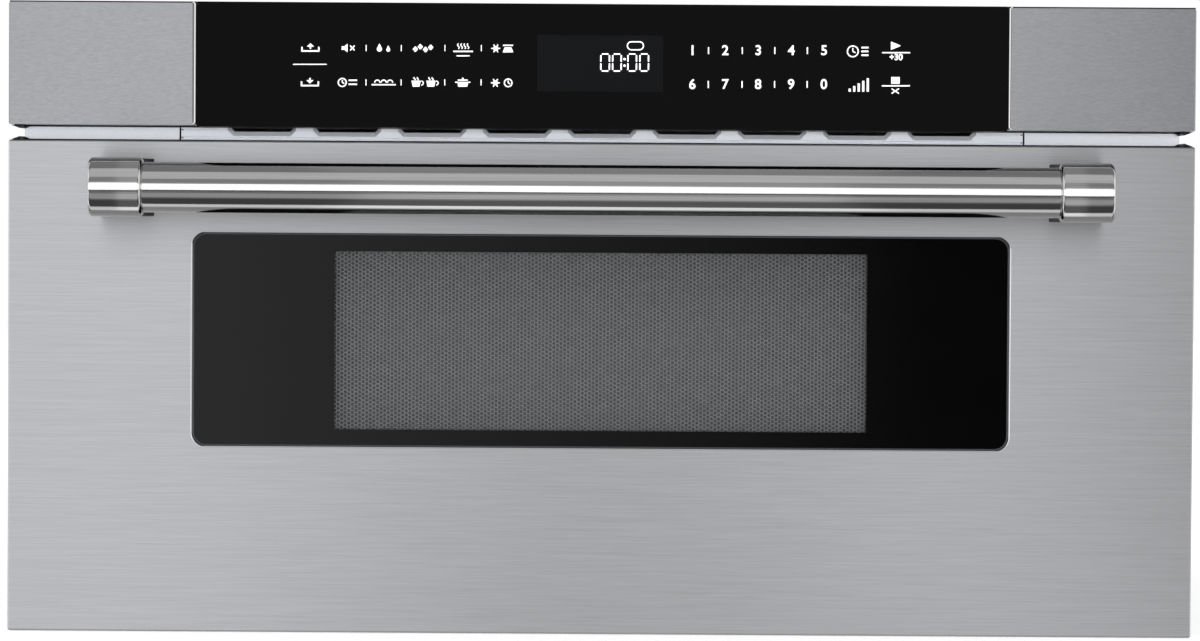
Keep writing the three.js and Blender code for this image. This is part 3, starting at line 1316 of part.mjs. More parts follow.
// Folded stainless end: a shallow tray whose edge beside the glass is rolled round.
function panelEnd() {
  const plan = new THREE.Shape();
  plan.moveTo(HALF_FRONT, SKIN_BACK);
  plan.lineTo(END_INNER, SKIN_BACK);
  plan.lineTo(END_INNER, FACE_Y + END_ROUND);
  plan.absarc(END_INNER + END_ROUND, FACE_Y + END_ROUND, END_ROUND, Math.PI, 1.5 * Math.PI);
  plan.lineTo(HALF_FRONT - SKIN_BEVEL, FACE_Y);
  plan.lineTo(HALF_FRONT, FACE_Y + SKIN_BEVEL);
  const face = prism(plan, "z", [PANEL_BOTTOM, PANEL_TOP]);
  const corners = prism(
    roundedRectangle([END_INNER, HALF_FRONT], [PANEL_BOTTOM, PANEL_TOP], 1.5),
    "y",
    [FACE_Y - 1, SKIN_BACK + 1],
  );
  const hollow = block(
    [END_INNER + SKIN, HALF_FRONT - SKIN],
    [FACE_Y + SKIN, SKIN_BACK + 1],
    [PANEL_BOTTOM + SKIN, PANEL_TOP - SKIN],
  );
  const shortReturn = block(
    [END_INNER - 1, END_INNER + SKIN + 1],
    [FACE_Y + END_RETURN, SKIN_BACK + 1],
    [PANEL_BOTTOM + SKIN, PANEL_TOP - SKIN],
  );
  return cut(face.intersect(corners), hollow, shortReturn);
}

const CARRIER_POCKET_FRONT = FACE_Y + END_RETURN + SEAT + MOULDING;

// Moulding behind the glass and the steel ends, open at the back, with bosses for the control board.
function panelCarrier() {
  const inset = SKIN + SEAT;
  const z = [PANEL_BOTTOM + inset, PANEL_TOP - inset];
  const rimY = [RIM_FRONT, PANEL_BACK];
  const rim = block(both(HALF_FRONT - 0.2), rimY, [PANEL_BOTTOM, PANEL_TOP]);
  const ledge = block(
    both(HALF_FRONT - TAB_WIDTH + 0.5),
    rimY,
    [PANEL_BOTTOM - RIM_PROUD, PANEL_BOTTOM + 1],
  );
  const bodyFront = FACE_Y + END_RETURN + SEAT;
  const body = block(both(HALF_FRONT - inset), [bodyFront, RIM_FRONT + 1], z);
  const behindGlass = block(both(END_INNER - 0.6), [GLASS_BACK + SEAT, bodyFront + 1], z);
  const behindEnd = [-1, 1].map((side) => {
    const span = onSide(side, END_INNER + SKIN + SEAT, HALF_FRONT - inset);
    return block(span, [FACE_Y + inset, bodyFront + 1], z);
  });
  const pocketBack = PANEL_BACK + 1;
  const pocketZ = [z[0] + MOULDING, z[1] - MOULDING];
  const middle = block(both(END_INNER - 6), [CARRIER_POCKET_FRONT, pocketBack], pocketZ);
  const ends = [-1, 1].map((side) => {
    const span = onSide(side, END_INNER + 4, HALF_FRONT - inset - MOULDING);
    return block(span, [FACE_Y + inset + MOULDING, pocketBack], pocketZ);
  });
  const tabs = cornerTabs(PANEL_BOTTOM, -1, rimY);
  const shell = cut(join(rim, ledge, body, behindGlass, ...behindEnd, ...tabs), middle, ...ends);
  const bossX = BOARD_SIZE[0] / 2 - BOARD_BOSS_INSET;
  const bossZ = BOARD_SIZE[1] / 2 - BOARD_BOSS_INSET;
  const bosses = [[-1, -1], [-1, 1], [1, -1], [1, 1]].map(([i, j]) => {
    const place = [i * bossX, 0, BOARD_MIDDLE + j * bossZ];
    return rod(BOARD_BOSS, "y", [CARRIER_POCKET_FRONT - 1, BOARD_FRONT - SEAT], place, 8);
  });
  return join(shell, ...bosses);
}

// Board with the display module, a connector, and relays and a small transformer at the back.
function controlBoard() {
  const [width, height, thickness] = BOARD_SIZE;
  const board = block(
    both(width / 2),
    [BOARD_FRONT, BOARD_FRONT + thickness],
    around(BOARD_MIDDLE, height),
  );
  const displayY = [CARRIER_POCKET_FRONT + SEAT, BOARD_FRONT + 0.5];
  const display = block(both(DISPLAY_SIZE[0] / 2), displayY, around(BOARD_MIDDLE, DISPLAY_SIZE[1]));
  const deck = BOARD_FRONT + thickness - 0.5;
  const mounted = (x, [long, deep, high], z = BOARD_MIDDLE) =>
    block(around(x, long), [deck, deck + deep], around(z, high));
  const relays = RELAYS_X.map((x) => mounted(x, RELAY_SIZE));
  const cans = CANS_X.map((x) => rod(CAN_RADIUS, "y", [deck, deck + CAN_HEIGHT], [x, 0, BOARD_MIDDLE], 8));
  const connector = mounted(0, CONNECTOR_SIZE, BOARD_MIDDLE - CONNECTOR_DROP);
  return join(board, display, ...relays, mounted(SUPPLY_X, SUPPLY_SIZE), ...cans, connector);
}

// ---- Interlock ----------------------------------------------------------------------------------------

function interlockSwitch() {
  const [width, depth, height] = SWITCH_SIZE;
  const y = [CASE_FRONT, CASE_FRONT + depth];
  const body = block(around(SWITCH_X, width), y, around(SWITCH_Z, height));
  const outline = roundedRectangle(around(SWITCH_X, width), around(SWITCH_Z, height + 2 * SWITCH_EAR), 4);
  const ears = prism(outline, "y", [y[0], y[0] + 2], { curve: 1 });
  const holes = [-1, 1].map((side) =>
    rod(1.8, "y", [y[0] - 1, y[0] + 3], [SWITCH_X, 0, SWITCH_Z + side * (height + SWITCH_EAR) / 2], 6),
  );
  const bore = rod(
    PLUNGER_RADIUS + SEAT,
    "y",
    [y[0] - 1, plungerEnd() + PLUNGER_TRAVEL + 0.5],
    [SWITCH_X, 0, SWITCH_Z],
    10,
  );
  const blades = [-1, 1].map((side) =>
    block(around(SWITCH_X + side * 4, 0.8), [y[1] - 1, y[1] + 8], around(SWITCH_Z, 6)),
  );
  return join(cut(join(body, ears), bore, ...holes), ...blades);
}

function plungerEnd() {
  return DOOR_BACK + SEAT + PLUNGER_LENGTH;
}

function interlockPlunger() {
  const front = DOOR_BACK + SEAT;
  const profile = [
    [0, front],
    [PLUNGER_RADIUS - PLUNGER_ROUND, front],
    [PLUNGER_RADIUS, front + PLUNGER_ROUND],
    [PLUNGER_RADIUS, plungerEnd()],
    [0, plungerEnd()],
  ];
  return turned(profile, "y", [SWITCH_X, 0, SWITCH_Z], 10);
}

// ---- Drawer front -------------------------------------------------------------------------------------

const screwPlace = (side) => [side * POST_X, 0, HANDLE_HEIGHT_ABOVE_BASE];

// Stainless skin: a folded tray with the window's opening and the two holes for the handle screws.
function drawerFront() {
  const outline = roundedRectangle(both(HALF_FRONT), [DRAWER_BOTTOM, DRAWER_TOP], 1.2);
  const face = prism(outline, "y", [FACE_Y, SKIN_BACK + 4], { bevel: SKIN_BEVEL, curve: 2 });
  const spare = block(
    both(HALF_FRONT + 1),
    [SKIN_BACK, SKIN_BACK + 5],
    [DRAWER_BOTTOM - 1, DRAWER_TOP + 1],
  );
  const hollow = block(
    both(HALF_FRONT - SKIN),
    [FACE_Y + SKIN, SKIN_BACK + 1],
    [DRAWER_BOTTOM + SKIN, DRAWER_TOP - SKIN],
  );
  const half = WINDOW_WIDTH / 2 + SEAT;
  const opening = roundedRectangle(
    both(half),
    [WINDOW_BOTTOM - SEAT, WINDOW_TOP + SEAT],
    WINDOW_CORNER + SEAT,
  );
  const window = prism(opening, "y", [FACE_Y - 1, FACE_Y + SKIN + 1]);
  const holes = [-1, 1].map((side) =>
    rod(HANDLE_SCREW_RADIUS + SEAT, "y", [FACE_Y - 1, FACE_Y + SKIN + 1], screwPlace(side), 8),
  );
  return cut(face, spare, hollow, window, ...holes);
}

// The moulded frame inside the skin: seats for the glass, the screen and the choke ring, and ribbed pockets.
function doorFrame() {
  const inset = SKIN + SEAT;
  const front = FACE_Y + inset;
  const rimY = [RIM_FRONT, DOOR_BACK];
  const body = block(
    both(HALF_FRONT - inset),
    [front, RIM_FRONT + 1],
    [DRAWER_BOTTOM + inset, DRAWER_TOP - inset],
  );
  const rim = block(both(HALF_FRONT - 0.2), rimY, [DRAWER_BOTTOM, DRAWER_TOP]);
  const ledge = block(both(HALF_FRONT - TAB_WIDTH + 0.5), rimY, [DRAWER_TOP - 1, DRAWER_TOP + RIM_PROUD]);
  const glass = roundedRectangle(
    both(WINDOW_WIDTH / 2 + SEAT),
    [WINDOW_BOTTOM - SEAT, WINDOW_TOP + SEAT],
    WINDOW_CORNER + SEAT,
  );
  const glassSeat = prism(glass, "y", [front - 1, WINDOW_BACK + SEAT]);
  const screenHalf = SCREEN_WIDTH / 2 + SCREEN_BORDER + SEAT;
  const screenZ = [SCREEN_BOTTOM - SCREEN_BORDER - SEAT, SCREEN_TOP + SCREEN_BORDER + SEAT];
  const screenSeat = block(both(screenHalf), [front - 1, SCREEN_BACK + SEAT], screenZ);
  const chokeHalf = CAVITY_WIDTH / 2 + CHOKE_WIDTH + SEAT;
  const chokeZ = [CAVITY_BOTTOM - CHOKE_WIDTH - SEAT, CAVITY_TOP + CHOKE_WIDTH + SEAT];
  const chokeSeat = block(both(chokeHalf), [CHOKE_FRONT - SEAT, DOOR_BACK + 1], chokeZ);
  const view = block(both(SCREEN_WIDTH / 2), [front, DOOR_BACK], [SCREEN_BOTTOM, SCREEN_TOP]);
  const screwTools = [-1, 1].flatMap((side) => [
    rod(HANDLE_SCREW_RADIUS + SEAT, "y", [front - 1, DOOR_BACK], screwPlace(side), 8),
    rod(HANDLE_SCREW_HEAD + 1, "y", [SCREW_SEAT, DOOR_BACK + 1], screwPlace(side), 12),
  ]);
  const seats = [glassSeat, screenSeat, chokeSeat, view];
  const shell = join(body, rim, ledge, ...cornerTabs(DRAWER_TOP, 1, rimY));
  return cut(shell, ...seats, ...framePockets(front), ...screwTools);
}

// One of the four parts of the frame: they meet level with the lower and upper edges of the view.
function framePart(x, z) {
  const everyY = [FACE_Y, DOOR_BACK + 1];
  return doorFrame().intersect(block(x, everyY, z));
}

const FRAME_END = HALF_FRONT + 1;
const FRAME_JOINTS = [SCREEN_BOTTOM, SCREEN_TOP];
const frameBottom = () => framePart(both(FRAME_END), [DRAWER_BOTTOM - 1, FRAME_JOINTS[0] - SEAT / 2]);
const frameTop = () => framePart(
  both(FRAME_END),
  [FRAME_JOINTS[1] + SEAT / 2, DRAWER_TOP + TAB_HEIGHT + 1],
);
const frameSide = () => framePart([0, FRAME_END], [FRAME_JOINTS[0] + SEAT / 2, FRAME_JOINTS[1] - SEAT / 2]);

// Equal spans from one value to another, with a rib between each two.
function ribbed([from, to], count) {
  const pitch = (to - from + MOULDING) / count;
  return Array.from({ length: count }, (_, i) => [from + i * pitch, from + (i + 1) * pitch - MOULDING]);
}

// Pockets between the frame's ribs, open to the front: along each side, and under and over the window.
function framePockets(front) {
  const floor = RIM_FRONT - MOULDING;
  const chokeFloor = CHOKE_FRONT - SEAT - MOULDING;
  const chokeZ = [CAVITY_BOTTOM - CHOKE_WIDTH, CAVITY_TOP + CHOKE_WIDTH];
  const top = DRAWER_TOP - FRAME_WALL - 2;
  const beside = WINDOW_WIDTH / 2 + 2 * FRAME_WALL;
  const columns = ribbed([beside, HALF_FRONT - SKIN - SEAT - MOULDING], FRAME_COLUMNS);
  const rows = [
    ...ribbed([DRAWER_BOTTOM + FRAME_WALL + 1, FRAME_JOINTS[0] - FRAME_WALL], 2),
    ...ribbed([FRAME_JOINTS[0] + FRAME_WALL, FRAME_JOINTS[1] - FRAME_WALL], 2),
  ];
  const pockets = [];
  for (const side of [-1, 1]) {
    for (const column of columns) {
      for (const row of rows) pockets.push(block(onSide(side, ...column), [front - 1, floor], row));
    }
    const outermost = onSide(side, ...columns[FRAME_COLUMNS - 1]);
    pockets.push(block(outermost, [front - 1, floor], [FRAME_JOINTS[1] + FRAME_WALL, top]));
  }
  for (const bay of ribbed(both(beside - FRAME_WALL), FRAME_BAYS)) {
    pockets.push(block(bay, [front - 1, floor], [DRAWER_BOTTOM + FRAME_WALL + 1, chokeZ[0] - FRAME_WALL]));
    pockets.push(block(bay, [front - 1, chokeFloor], [chokeZ[0], WINDOW_BOTTOM - FRAME_WALL]));
    pockets.push(block(bay, [front - 1, chokeFloor], [WINDOW_TOP + FRAME_WALL, chokeZ[1]]));
    pockets.push(block(bay, [front - 1, floor], [chokeZ[1] + FRAME_WALL, top]));
  }
  return pockets;
}

function windowGlass() {
  const outline = roundedRectangle(both(WINDOW_WIDTH / 2), [WINDOW_BOTTOM, WINDOW_TOP], WINDOW_CORNER);
  const plate = prism(outline, "y", [WINDOW_FRONT, WINDOW_BACK + WINDOW_BEVEL], { bevel: WINDOW_BEVEL });
  const spare = block(
    both(WINDOW_WIDTH / 2 + 1),
    [WINDOW_BACK, WINDOW_BACK + WINDOW_BEVEL + 1],
    [WINDOW_BOTTOM - 1, WINDOW_TOP + 1],
  );
  return cut(plate, spare);
}

// Perforated sheet. Its holes, 1.5 mm across, are finer than this model draws.
function windowScreen() {
  const half = SCREEN_WIDTH / 2 + SCREEN_BORDER;
  const z = [SCREEN_BOTTOM - SCREEN_BORDER, SCREEN_TOP + SCREEN_BORDER];
  return prism(roundedRectangle(both(half), z, 3), "y", [SCREEN_FRONT, SCREEN_BACK], { curve: 2 });
}

function innerWindow() {
  const z = [CAVITY_BOTTOM + SEAT, CAVITY_TOP - SEAT];
  return block(both(CAVITY_WIDTH / 2 - SEAT), [INNER_WINDOW_FRONT, INNER_WINDOW_FRONT + INNER_WINDOW], z);
}

// Microwave choke: a channel ring round the opening, its inner wall slit into a row of fingers.
function chokeRing() {
  const wall = 1.5;
  const ring = (grow, y) => block(
    both(CAVITY_WIDTH / 2 + grow),
    y,
    [CAVITY_BOTTOM - grow, CAVITY_TOP + grow],
  );
  const through = [CHOKE_FRONT - 1, CHOKE_BACK + 1];
  const outside = cut(ring(CHOKE_WIDTH, [CHOKE_FRONT, CHOKE_BACK]), ring(0, through));
  const groove = cut(ring(CHOKE_WIDTH - wall, [CHOKE_FRONT + wall, CHOKE_BACK + 1]), ring(wall, through));
  const slits = [];
  const slitY = [CHOKE_FRONT + 4, CHOKE_BACK + 1];
  const countX = Math.floor((CAVITY_WIDTH - 20) / CHOKE_PITCH);
  const countZ = Math.floor((CAVITY_HEIGHT - 20) / CHOKE_PITCH);
  for (let i = 0; i < countX; i++) {
    const x = (i - (countX - 1) / 2) * CHOKE_PITCH;
    slits.push(block(around(x, CHOKE_SLOT), slitY, [CAVITY_BOTTOM - wall - 0.5, CAVITY_BOTTOM + 0.5]));
    slits.push(block(around(x, CHOKE_SLOT), slitY, [CAVITY_TOP - 0.5, CAVITY_TOP + wall + 0.5]));
  }
  for (let i = 0; i < countZ; i++) {
    const z = CAVITY_BOTTOM + CAVITY_HEIGHT / 2 + (i - (countZ - 1) / 2) * CHOKE_PITCH;
    slits.push(
      block([CAVITY_WIDTH / 2 - 0.5, CAVITY_WIDTH / 2 + wall + 0.5], slitY, around(z, CHOKE_SLOT)),
    );
    slits.push(
      block([-CAVITY_WIDTH / 2 - wall - 0.5, -CAVITY_WIDTH / 2 + 0.5], slitY, around(z, CHOKE_SLOT)),
    );
  }
  return cut(outside, groove, ...slits);
}

// ---- Tub ----------------------------------------------------------------------------------------------

// A tub form of the given inset: rounded upright corners at the back, rounded edges along the floor.
function tubForm(inset, front, top) {
  const half = TUB_HALF - inset;
  const radius = TUB_CORNER - inset;
  const plan = new THREE.Shape();
  plan.moveTo(-half, front);
  plan.lineTo(half, front);
  plan.lineTo(half, TUB_BACK - inset - radius);
  plan.absarc(half - radius, TUB_BACK - inset - radius, radius, 0, Math.PI / 2);
  plan.lineTo(-half + radius, TUB_BACK - inset);
  plan.absarc(-half + radius, TUB_BACK - inset - radius, radius, Math.PI / 2, Math.PI);
  const section = new THREE.Shape();
  section.moveTo(-half, top);
  section.lineTo(-half, TUB_BOTTOM + inset + radius);
  section.absarc(-half + radius, TUB_BOTTOM + inset + radius, radius, Math.PI, 1.5 * Math.PI);
  section.lineTo(half - radius, TUB_BOTTOM + inset);
  section.absarc(half - radius, TUB_BOTTOM + inset + radius, radius, 1.5 * Math.PI, 2 * Math.PI);
  section.lineTo(half, top);
  const upright = prism(plan, "z", [TUB_BOTTOM - 1, top]);
  return upright.intersect(prism(section, "y", [front - 1, TUB_BACK + 1]));
}

// Tub open at the top and towards the inner window, with a folded hem along its rim and a front lip.
function drawerTub() {
  const shell = cut(tubForm(0, TUB_FRONT, TUB_TOP), tubForm(TUB_SHEET, TUB_FRONT - 2, TUB_TOP + 1));
  const lipHalf = TUB_HALF + TUB_LIP;
  const lip = cut(
    block(both(lipHalf), [TUB_FRONT, TUB_FRONT + TUB_SHEET], [TUB_BOTTOM - TUB_LIP, TUB_TOP]),
    tubForm(TUB_SHEET, TUB_FRONT - 2, TUB_TOP + 1),
  );
  const hemOut = block(both(lipHalf), [TUB_FRONT, TUB_BACK + TUB_LIP], [TUB_TOP - TUB_HEM, TUB_TOP]);
  const underHem = block(
    both(lipHalf - TUB_SHEET),
    [TUB_FRONT + TUB_SHEET, TUB_BACK + TUB_LIP - TUB_SHEET],
    [TUB_TOP - TUB_HEM - 1, TUB_TOP - TUB_SHEET],
  );
  const inside = tubForm(TUB_SHEET, TUB_FRONT - 2, TUB_TOP + 1);
  const hem = cut(hemOut, underHem, inside);
  return join(shell, lip, hem);
}

function tubFloorGlass() {
  const half = TUB_HALF - FLOOR_GLASS_MARGIN;
  const floor = TUB_BOTTOM + TUB_SHEET + SEAT;
  const outline = roundedRectangle(
    both(half),
    [TUB_FRONT + FLOOR_GLASS_MARGIN, TUB_BACK - FLOOR_GLASS_MARGIN],
    10,
  );
  return prism(outline, "z", [floor, floor + FLOOR_GLASS], { curve: 2 });
}

// ---- Handle -------------------------------------------------------------------------------------------

function handleBar() {
  const half = HALF_HANDLE - CAP_LENGTH - SEAT;
  return rod(BAR_RADIUS, "x", both(half), [0, BAR_Y, HANDLE_HEIGHT_ABOVE_BASE], 32);
}

// A round cap over the end of the bar, on a post that widens inwards down to its foot on the drawer front.
function handlePost() {
  const outer = HALF_HANDLE;
  const inner = HALF_HANDLE - CAP_LENGTH;
  const shoulder = (x, from, to) => arc(
    [x, CAP_RADIUS - CAP_ROUND],
    CAP_ROUND,
    from,
    to,
    2,
  ).map(([h, r]) => [r, h]);
  const profile = [
    [0, inner],
    ...shoulder(inner + CAP_ROUND, 180, 90),
    ...shoulder(outer - CAP_ROUND, 90, 0),
    [0, outer],
  ];
  const cap = turned(profile, "x", [0, BAR_Y, HANDLE_HEIGHT_ABOVE_BASE], 26);
  const footY = FACE_Y - SEAT;
  const plan = new THREE.Shape();
  plan.moveTo(inner + CAP_ROUND, BAR_Y);
  plan.lineTo(outer - 1, BAR_Y);
  plan.lineTo(outer - 1, footY);
  plan.lineTo(inner - POST_FLARE, footY);
  plan.quadraticCurveTo(
    inner + CAP_ROUND,
    footY - HANDLE_REACH / 4,
    inner + CAP_ROUND,
    BAR_Y + CAP_RADIUS * 0.7,
  );
  const post = prism(plan, "z", around(HANDLE_HEIGHT_ABOVE_BASE, POST_HEIGHT));
  const thread = rod(
    HANDLE_SCREW_RADIUS + SEAT,
    "y",
    [footY - HANDLE_SCREW_BITE - 1, footY + 1],
    screwPlace(1),
    8,
  );
  return cut(join(cap, post), thread);
}

function handleScrew() {
  const shank = rod(
    HANDLE_SCREW_RADIUS,
    "y",
    [FACE_Y - SEAT - HANDLE_SCREW_BITE, SCREW_SEAT + 1],
    screwPlace(1),
    8,
  );
  const head = rod(HANDLE_SCREW_HEAD, "y", [SCREW_SEAT + SEAT, SCREW_SEAT + SEAT + 3.5], screwPlace(1), 12);
  const socket = rod(2.5, "y", [SCREW_SEAT + SEAT + 1.5, SCREW_SEAT + 5], screwPlace(1), 6);
  return cut(join(shank, head), socket);
}

// ---- Assembly -----------------------------------------------------------------------------------------

add(chassis, "base_pan", basePan(), zincSheet);
addPair(chassis, "side_panel", sidePanel(), zincSheet);
add(chassis, "rear_panel", rearPanel(), zincSheet);
add(chassis, "top_cover", topCover(), zincSheet);
add(chassis, "front_flange", frontFlange(), flangeSteel);
add(chassis, "vent_grille", ventGrille(), flangeSteel);
add(chassis, "exhaust_duct", exhaustDuct(), zincSheet);
add(chassis, "cavity_shell", cavityShell(), cavityPaint);
add(chassis, "stirrer_cover", stirrerCover(), micaBoard);
add(chassis, "stirrer_motor", stirrerMotor(), zincSheet);
add(chassis, "waveguide", waveguide(), zincSheet);
add(chassis, "magnetron", magnetron(), aluminium);
add(chassis, "transformer", transformer(), copperWinding);
add(chassis, "hv_capacitor", capacitor(), aluminium);
add(chassis, "fan_housing", fanHousing(), blackPlastic);
add(chassis, "fan_motor", fanMotor(), zincSheet);
add(chassis, "oven_lamp", ovenLamp(), whitePlastic);
add(chassis, "noise_filter", noiseFilter(), greenBoard);
add(chassis, "cord_gland", cordGland(), blackPlastic);
add(chassis, "touch_glass", touchGlass(), blackGlass);
addPair(chassis, "panel_end", panelEnd(), brushedSteel);
add(chassis, "panel_carrier", panelCarrier(), blackPlastic);
add(chassis, "control_board", controlBoard(), greenBoard);
addPair(chassis, "interlock_switch", interlockSwitch(), blackPlastic);
addPair(model, "interlock_plunger", interlockPlunger(), whitePlastic);
add(model, "stirrer_blade", stirrerBlade(), aluminium);
add(model, "fan_impeller", fanImpeller(), whitePlastic);

add(drawer, "drawer_front", drawerFront(), brushedSteel);
add(drawer, "door_frame_bottom", frameBottom(), blackPlastic);
add(drawer, "door_frame_top", frameTop(), blackPlastic);
addPair(drawer, "door_frame_side", frameSide(), blackPlastic);
add(drawer, "window_glass", windowGlass(), smokedGlass);
add(drawer, "window_screen", windowScreen(), screenSteel);
add(drawer, "inner_window", innerWindow(), clearGlass);
add(drawer, "choke_ring", chokeRing(), zincSheet);
add(drawer, "drawer_tub", drawerTub(), tubPaint);
add(drawer, "tub_floor_glass", tubFloorGlass(), ceramicGlass);
add(drawer, "handle_bar", handleBar(), polishedSteel);
addPair(drawer, "handle_post", handlePost(), polishedSteel);
addPair(drawer, "handle_screw", handleScrew(), zincSheet);

export default model;
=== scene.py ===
"""Looks of a built-in microwave drawer: stainless front, black glass panel, round handle, sheet-metal case.

Lengths are metres in the frame's own axes: +X right, -Y out of the front, +Z up.
"""
import json
import math

import bmesh
import bpy
from mathutils import Matrix, Vector

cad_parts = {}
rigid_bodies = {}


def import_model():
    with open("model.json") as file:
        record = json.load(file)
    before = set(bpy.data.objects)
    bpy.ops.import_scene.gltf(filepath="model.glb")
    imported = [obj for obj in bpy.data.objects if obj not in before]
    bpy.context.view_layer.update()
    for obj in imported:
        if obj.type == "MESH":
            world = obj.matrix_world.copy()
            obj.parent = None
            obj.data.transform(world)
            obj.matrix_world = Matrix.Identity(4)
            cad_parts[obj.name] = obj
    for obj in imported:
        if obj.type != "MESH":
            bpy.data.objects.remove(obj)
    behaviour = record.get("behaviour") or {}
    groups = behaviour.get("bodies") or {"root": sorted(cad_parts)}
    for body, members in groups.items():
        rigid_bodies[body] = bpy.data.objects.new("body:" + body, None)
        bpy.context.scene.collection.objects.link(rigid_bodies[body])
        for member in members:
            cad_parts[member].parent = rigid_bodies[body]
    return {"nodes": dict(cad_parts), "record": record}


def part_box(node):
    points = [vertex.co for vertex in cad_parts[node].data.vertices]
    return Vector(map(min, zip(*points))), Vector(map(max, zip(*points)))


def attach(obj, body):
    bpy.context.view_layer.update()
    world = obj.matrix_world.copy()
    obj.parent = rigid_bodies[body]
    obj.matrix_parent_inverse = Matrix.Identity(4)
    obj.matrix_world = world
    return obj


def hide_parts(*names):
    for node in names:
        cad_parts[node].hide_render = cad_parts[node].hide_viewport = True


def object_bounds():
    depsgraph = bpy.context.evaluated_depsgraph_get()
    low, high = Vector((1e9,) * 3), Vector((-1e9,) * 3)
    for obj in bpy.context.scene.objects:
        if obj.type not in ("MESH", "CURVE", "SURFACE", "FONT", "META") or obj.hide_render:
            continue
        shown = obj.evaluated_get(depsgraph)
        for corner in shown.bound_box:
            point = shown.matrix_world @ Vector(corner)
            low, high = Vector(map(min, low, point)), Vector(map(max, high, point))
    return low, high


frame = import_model()
cad_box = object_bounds()

MM = 0.001

# ---- Places taken from the frame ---------------------


def low(node):
    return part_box(node)[0]


def high(node):
    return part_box(node)[1]


FACE_Y = low("drawer_front").y
HALF_FRONT = high("drawer_front").x
GLASS_Y = low("touch_glass").y
PANEL_TOP = high("touch_glass").z
WINDOW_Y = low("window_glass").y
WINDOW_BACK = high("window_glass").y
BAR_Y = (low("handle_bar").y + high("handle_bar").y) / 2
BAR_Z = (low("handle_bar").z + high("handle_bar").z) / 2
BAR_RADIUS = (high("handle_bar").z - low("handle_bar").z) / 2
HALF_BAR = high("handle_bar").x
HALF_HANDLE = high("handle_post_right").x
CAP_RADIUS = BAR_Y - low("handle_post_right").y

# ---- Node helper and colours -------------------------


def linear(code):
    """An sRGB colour such as "c8cacc" as linear RGBA."""
    channels = [int(code[i:i + 2], 16) / 255 for i in (0, 2, 4)]
    return [c / 12.92 if c <= 0.04045 else ((c + 0.055) / 1.055) ** 2.4 for c in channels] + [1.0]


def add(tree, kind, settings=None, links=None):
    """Adds a node. links gives its inputs: a plain value, or (node, output) to link."""
    made = tree.nodes.new(kind)
    for name, value in (settings or {}).items():
        setattr(made, name, value)
    for name, value in (links or {}).items():
        if isinstance(value, tuple) and isinstance(value[0], bpy.types.Node):
            tree.links.new(value[0].outputs[value[1]], made.inputs[name])
        else:
            made.inputs[name].default_value = value
    return made


def emptied(owner):
    """The node tree of a new material or world, with nothing in it."""
    owner.use_nodes = True
    owner.node_tree.nodes.clear()
    return owner.node_tree


def start(name):
    """A new material with only its shader and its output. Returns the material, its tree and the shader."""
    made = bpy.data.materials.new(name)
    tree = emptied(made)
    shader = add(tree, "ShaderNodeBsdfPrincipled")
    add(tree, "ShaderNodeOutputMaterial", links={"Surface": (shader, "BSDF")})
    return made, tree, shader


def place(tree, scale=(1, 1, 1)):
    """The surface's own place in metres, stretched by scale."""
    where = add(tree, "ShaderNodeTexCoord")
    return add(tree, "ShaderNodeMapping", links={"Vector": (where, "Object"), "Scale": scale})


def ramped(tree, source, stops):
    """A ramp through linear colours: stops are (place, RGBA)."""
    ramp = add(tree, "ShaderNodeValToRGB", links={"Fac": source})
    elements = ramp.color_ramp.elements
    while len(elements) < len(stops):
        elements.new(0.5)
    for element, (at, colour) in zip(elements, stops):
        element.position = at
        element.color = colour
    return ramp


def shades(tree, source, stops):
    """A ramp through sRGB colours: stops are (place, colour code)."""
    return ramped(tree, source, [(at, linear(code)) for at, code in stops])


def levels(tree, source, low_value, high_value):
    """A 0 to 1 value spread between two numbers."""
    return add(tree, "ShaderNodeMapRange", links={"Value": source, "To Min": low_value, "To Max": high_value})


def bump(tree, source, height, strength=1.0):
    """Bump whose distance is a real height in metres."""
    return add(tree, "ShaderNodeBump", links={"Height": source, "Distance": height, "Strength": strength})


def noise(tree, size, detail=2.0, stretch=(1, 1, 1), roughness=0.5):
    """Soft noise about size metres across, in the surface's own place stretched by three factors."""
    return add(tree, "ShaderNodeTexNoise", {}, {
        "Vector": (place(tree, stretch), "Vector"), "Scale": 1 / size,
        "Detail": detail, "Roughness": roughness})


def cells(tree, size, randomness=1.0):
    """Crystal-like cells about size metres across."""
    return add(tree, "ShaderNodeTexVoronoi", {}, {
        "Vector": (place(tree), "Vector"), "Scale": 1 / size, "Randomness": randomness})


def dress(tree, shader, sockets):
    """Gives sockets of the shader a plain value, or a node whose first output is linked."""
    for name, value in sockets.items():
        if isinstance(value, bpy.types.Node):
            tree.links.new(value.outputs[0], shader.inputs[name])
        else:
            shader.inputs[name].default_value = value


# ---- Materials ---------------------------------------


def grained(name, grain, dark, light, plain, rough=None, relief=None):
    """A material with one soft grain, which moves its colour between two shades and, where they are given,
    its roughness between two values and its surface by a height. grain is noise's size, detail, stretch."""
    made, tree, shader = start(name)
    source = noise(tree, *grain), "Fac"
    sockets = {"Base Color": shades(tree, source, [(0.3, dark), (0.7, light)]), **plain}
    if rough:
        sockets["Roughness"] = levels(tree, source, *rough)
    if relief:
        sockets["Normal"] = bump(tree, source, *relief)
    dress(tree, shader, sockets)
    return made


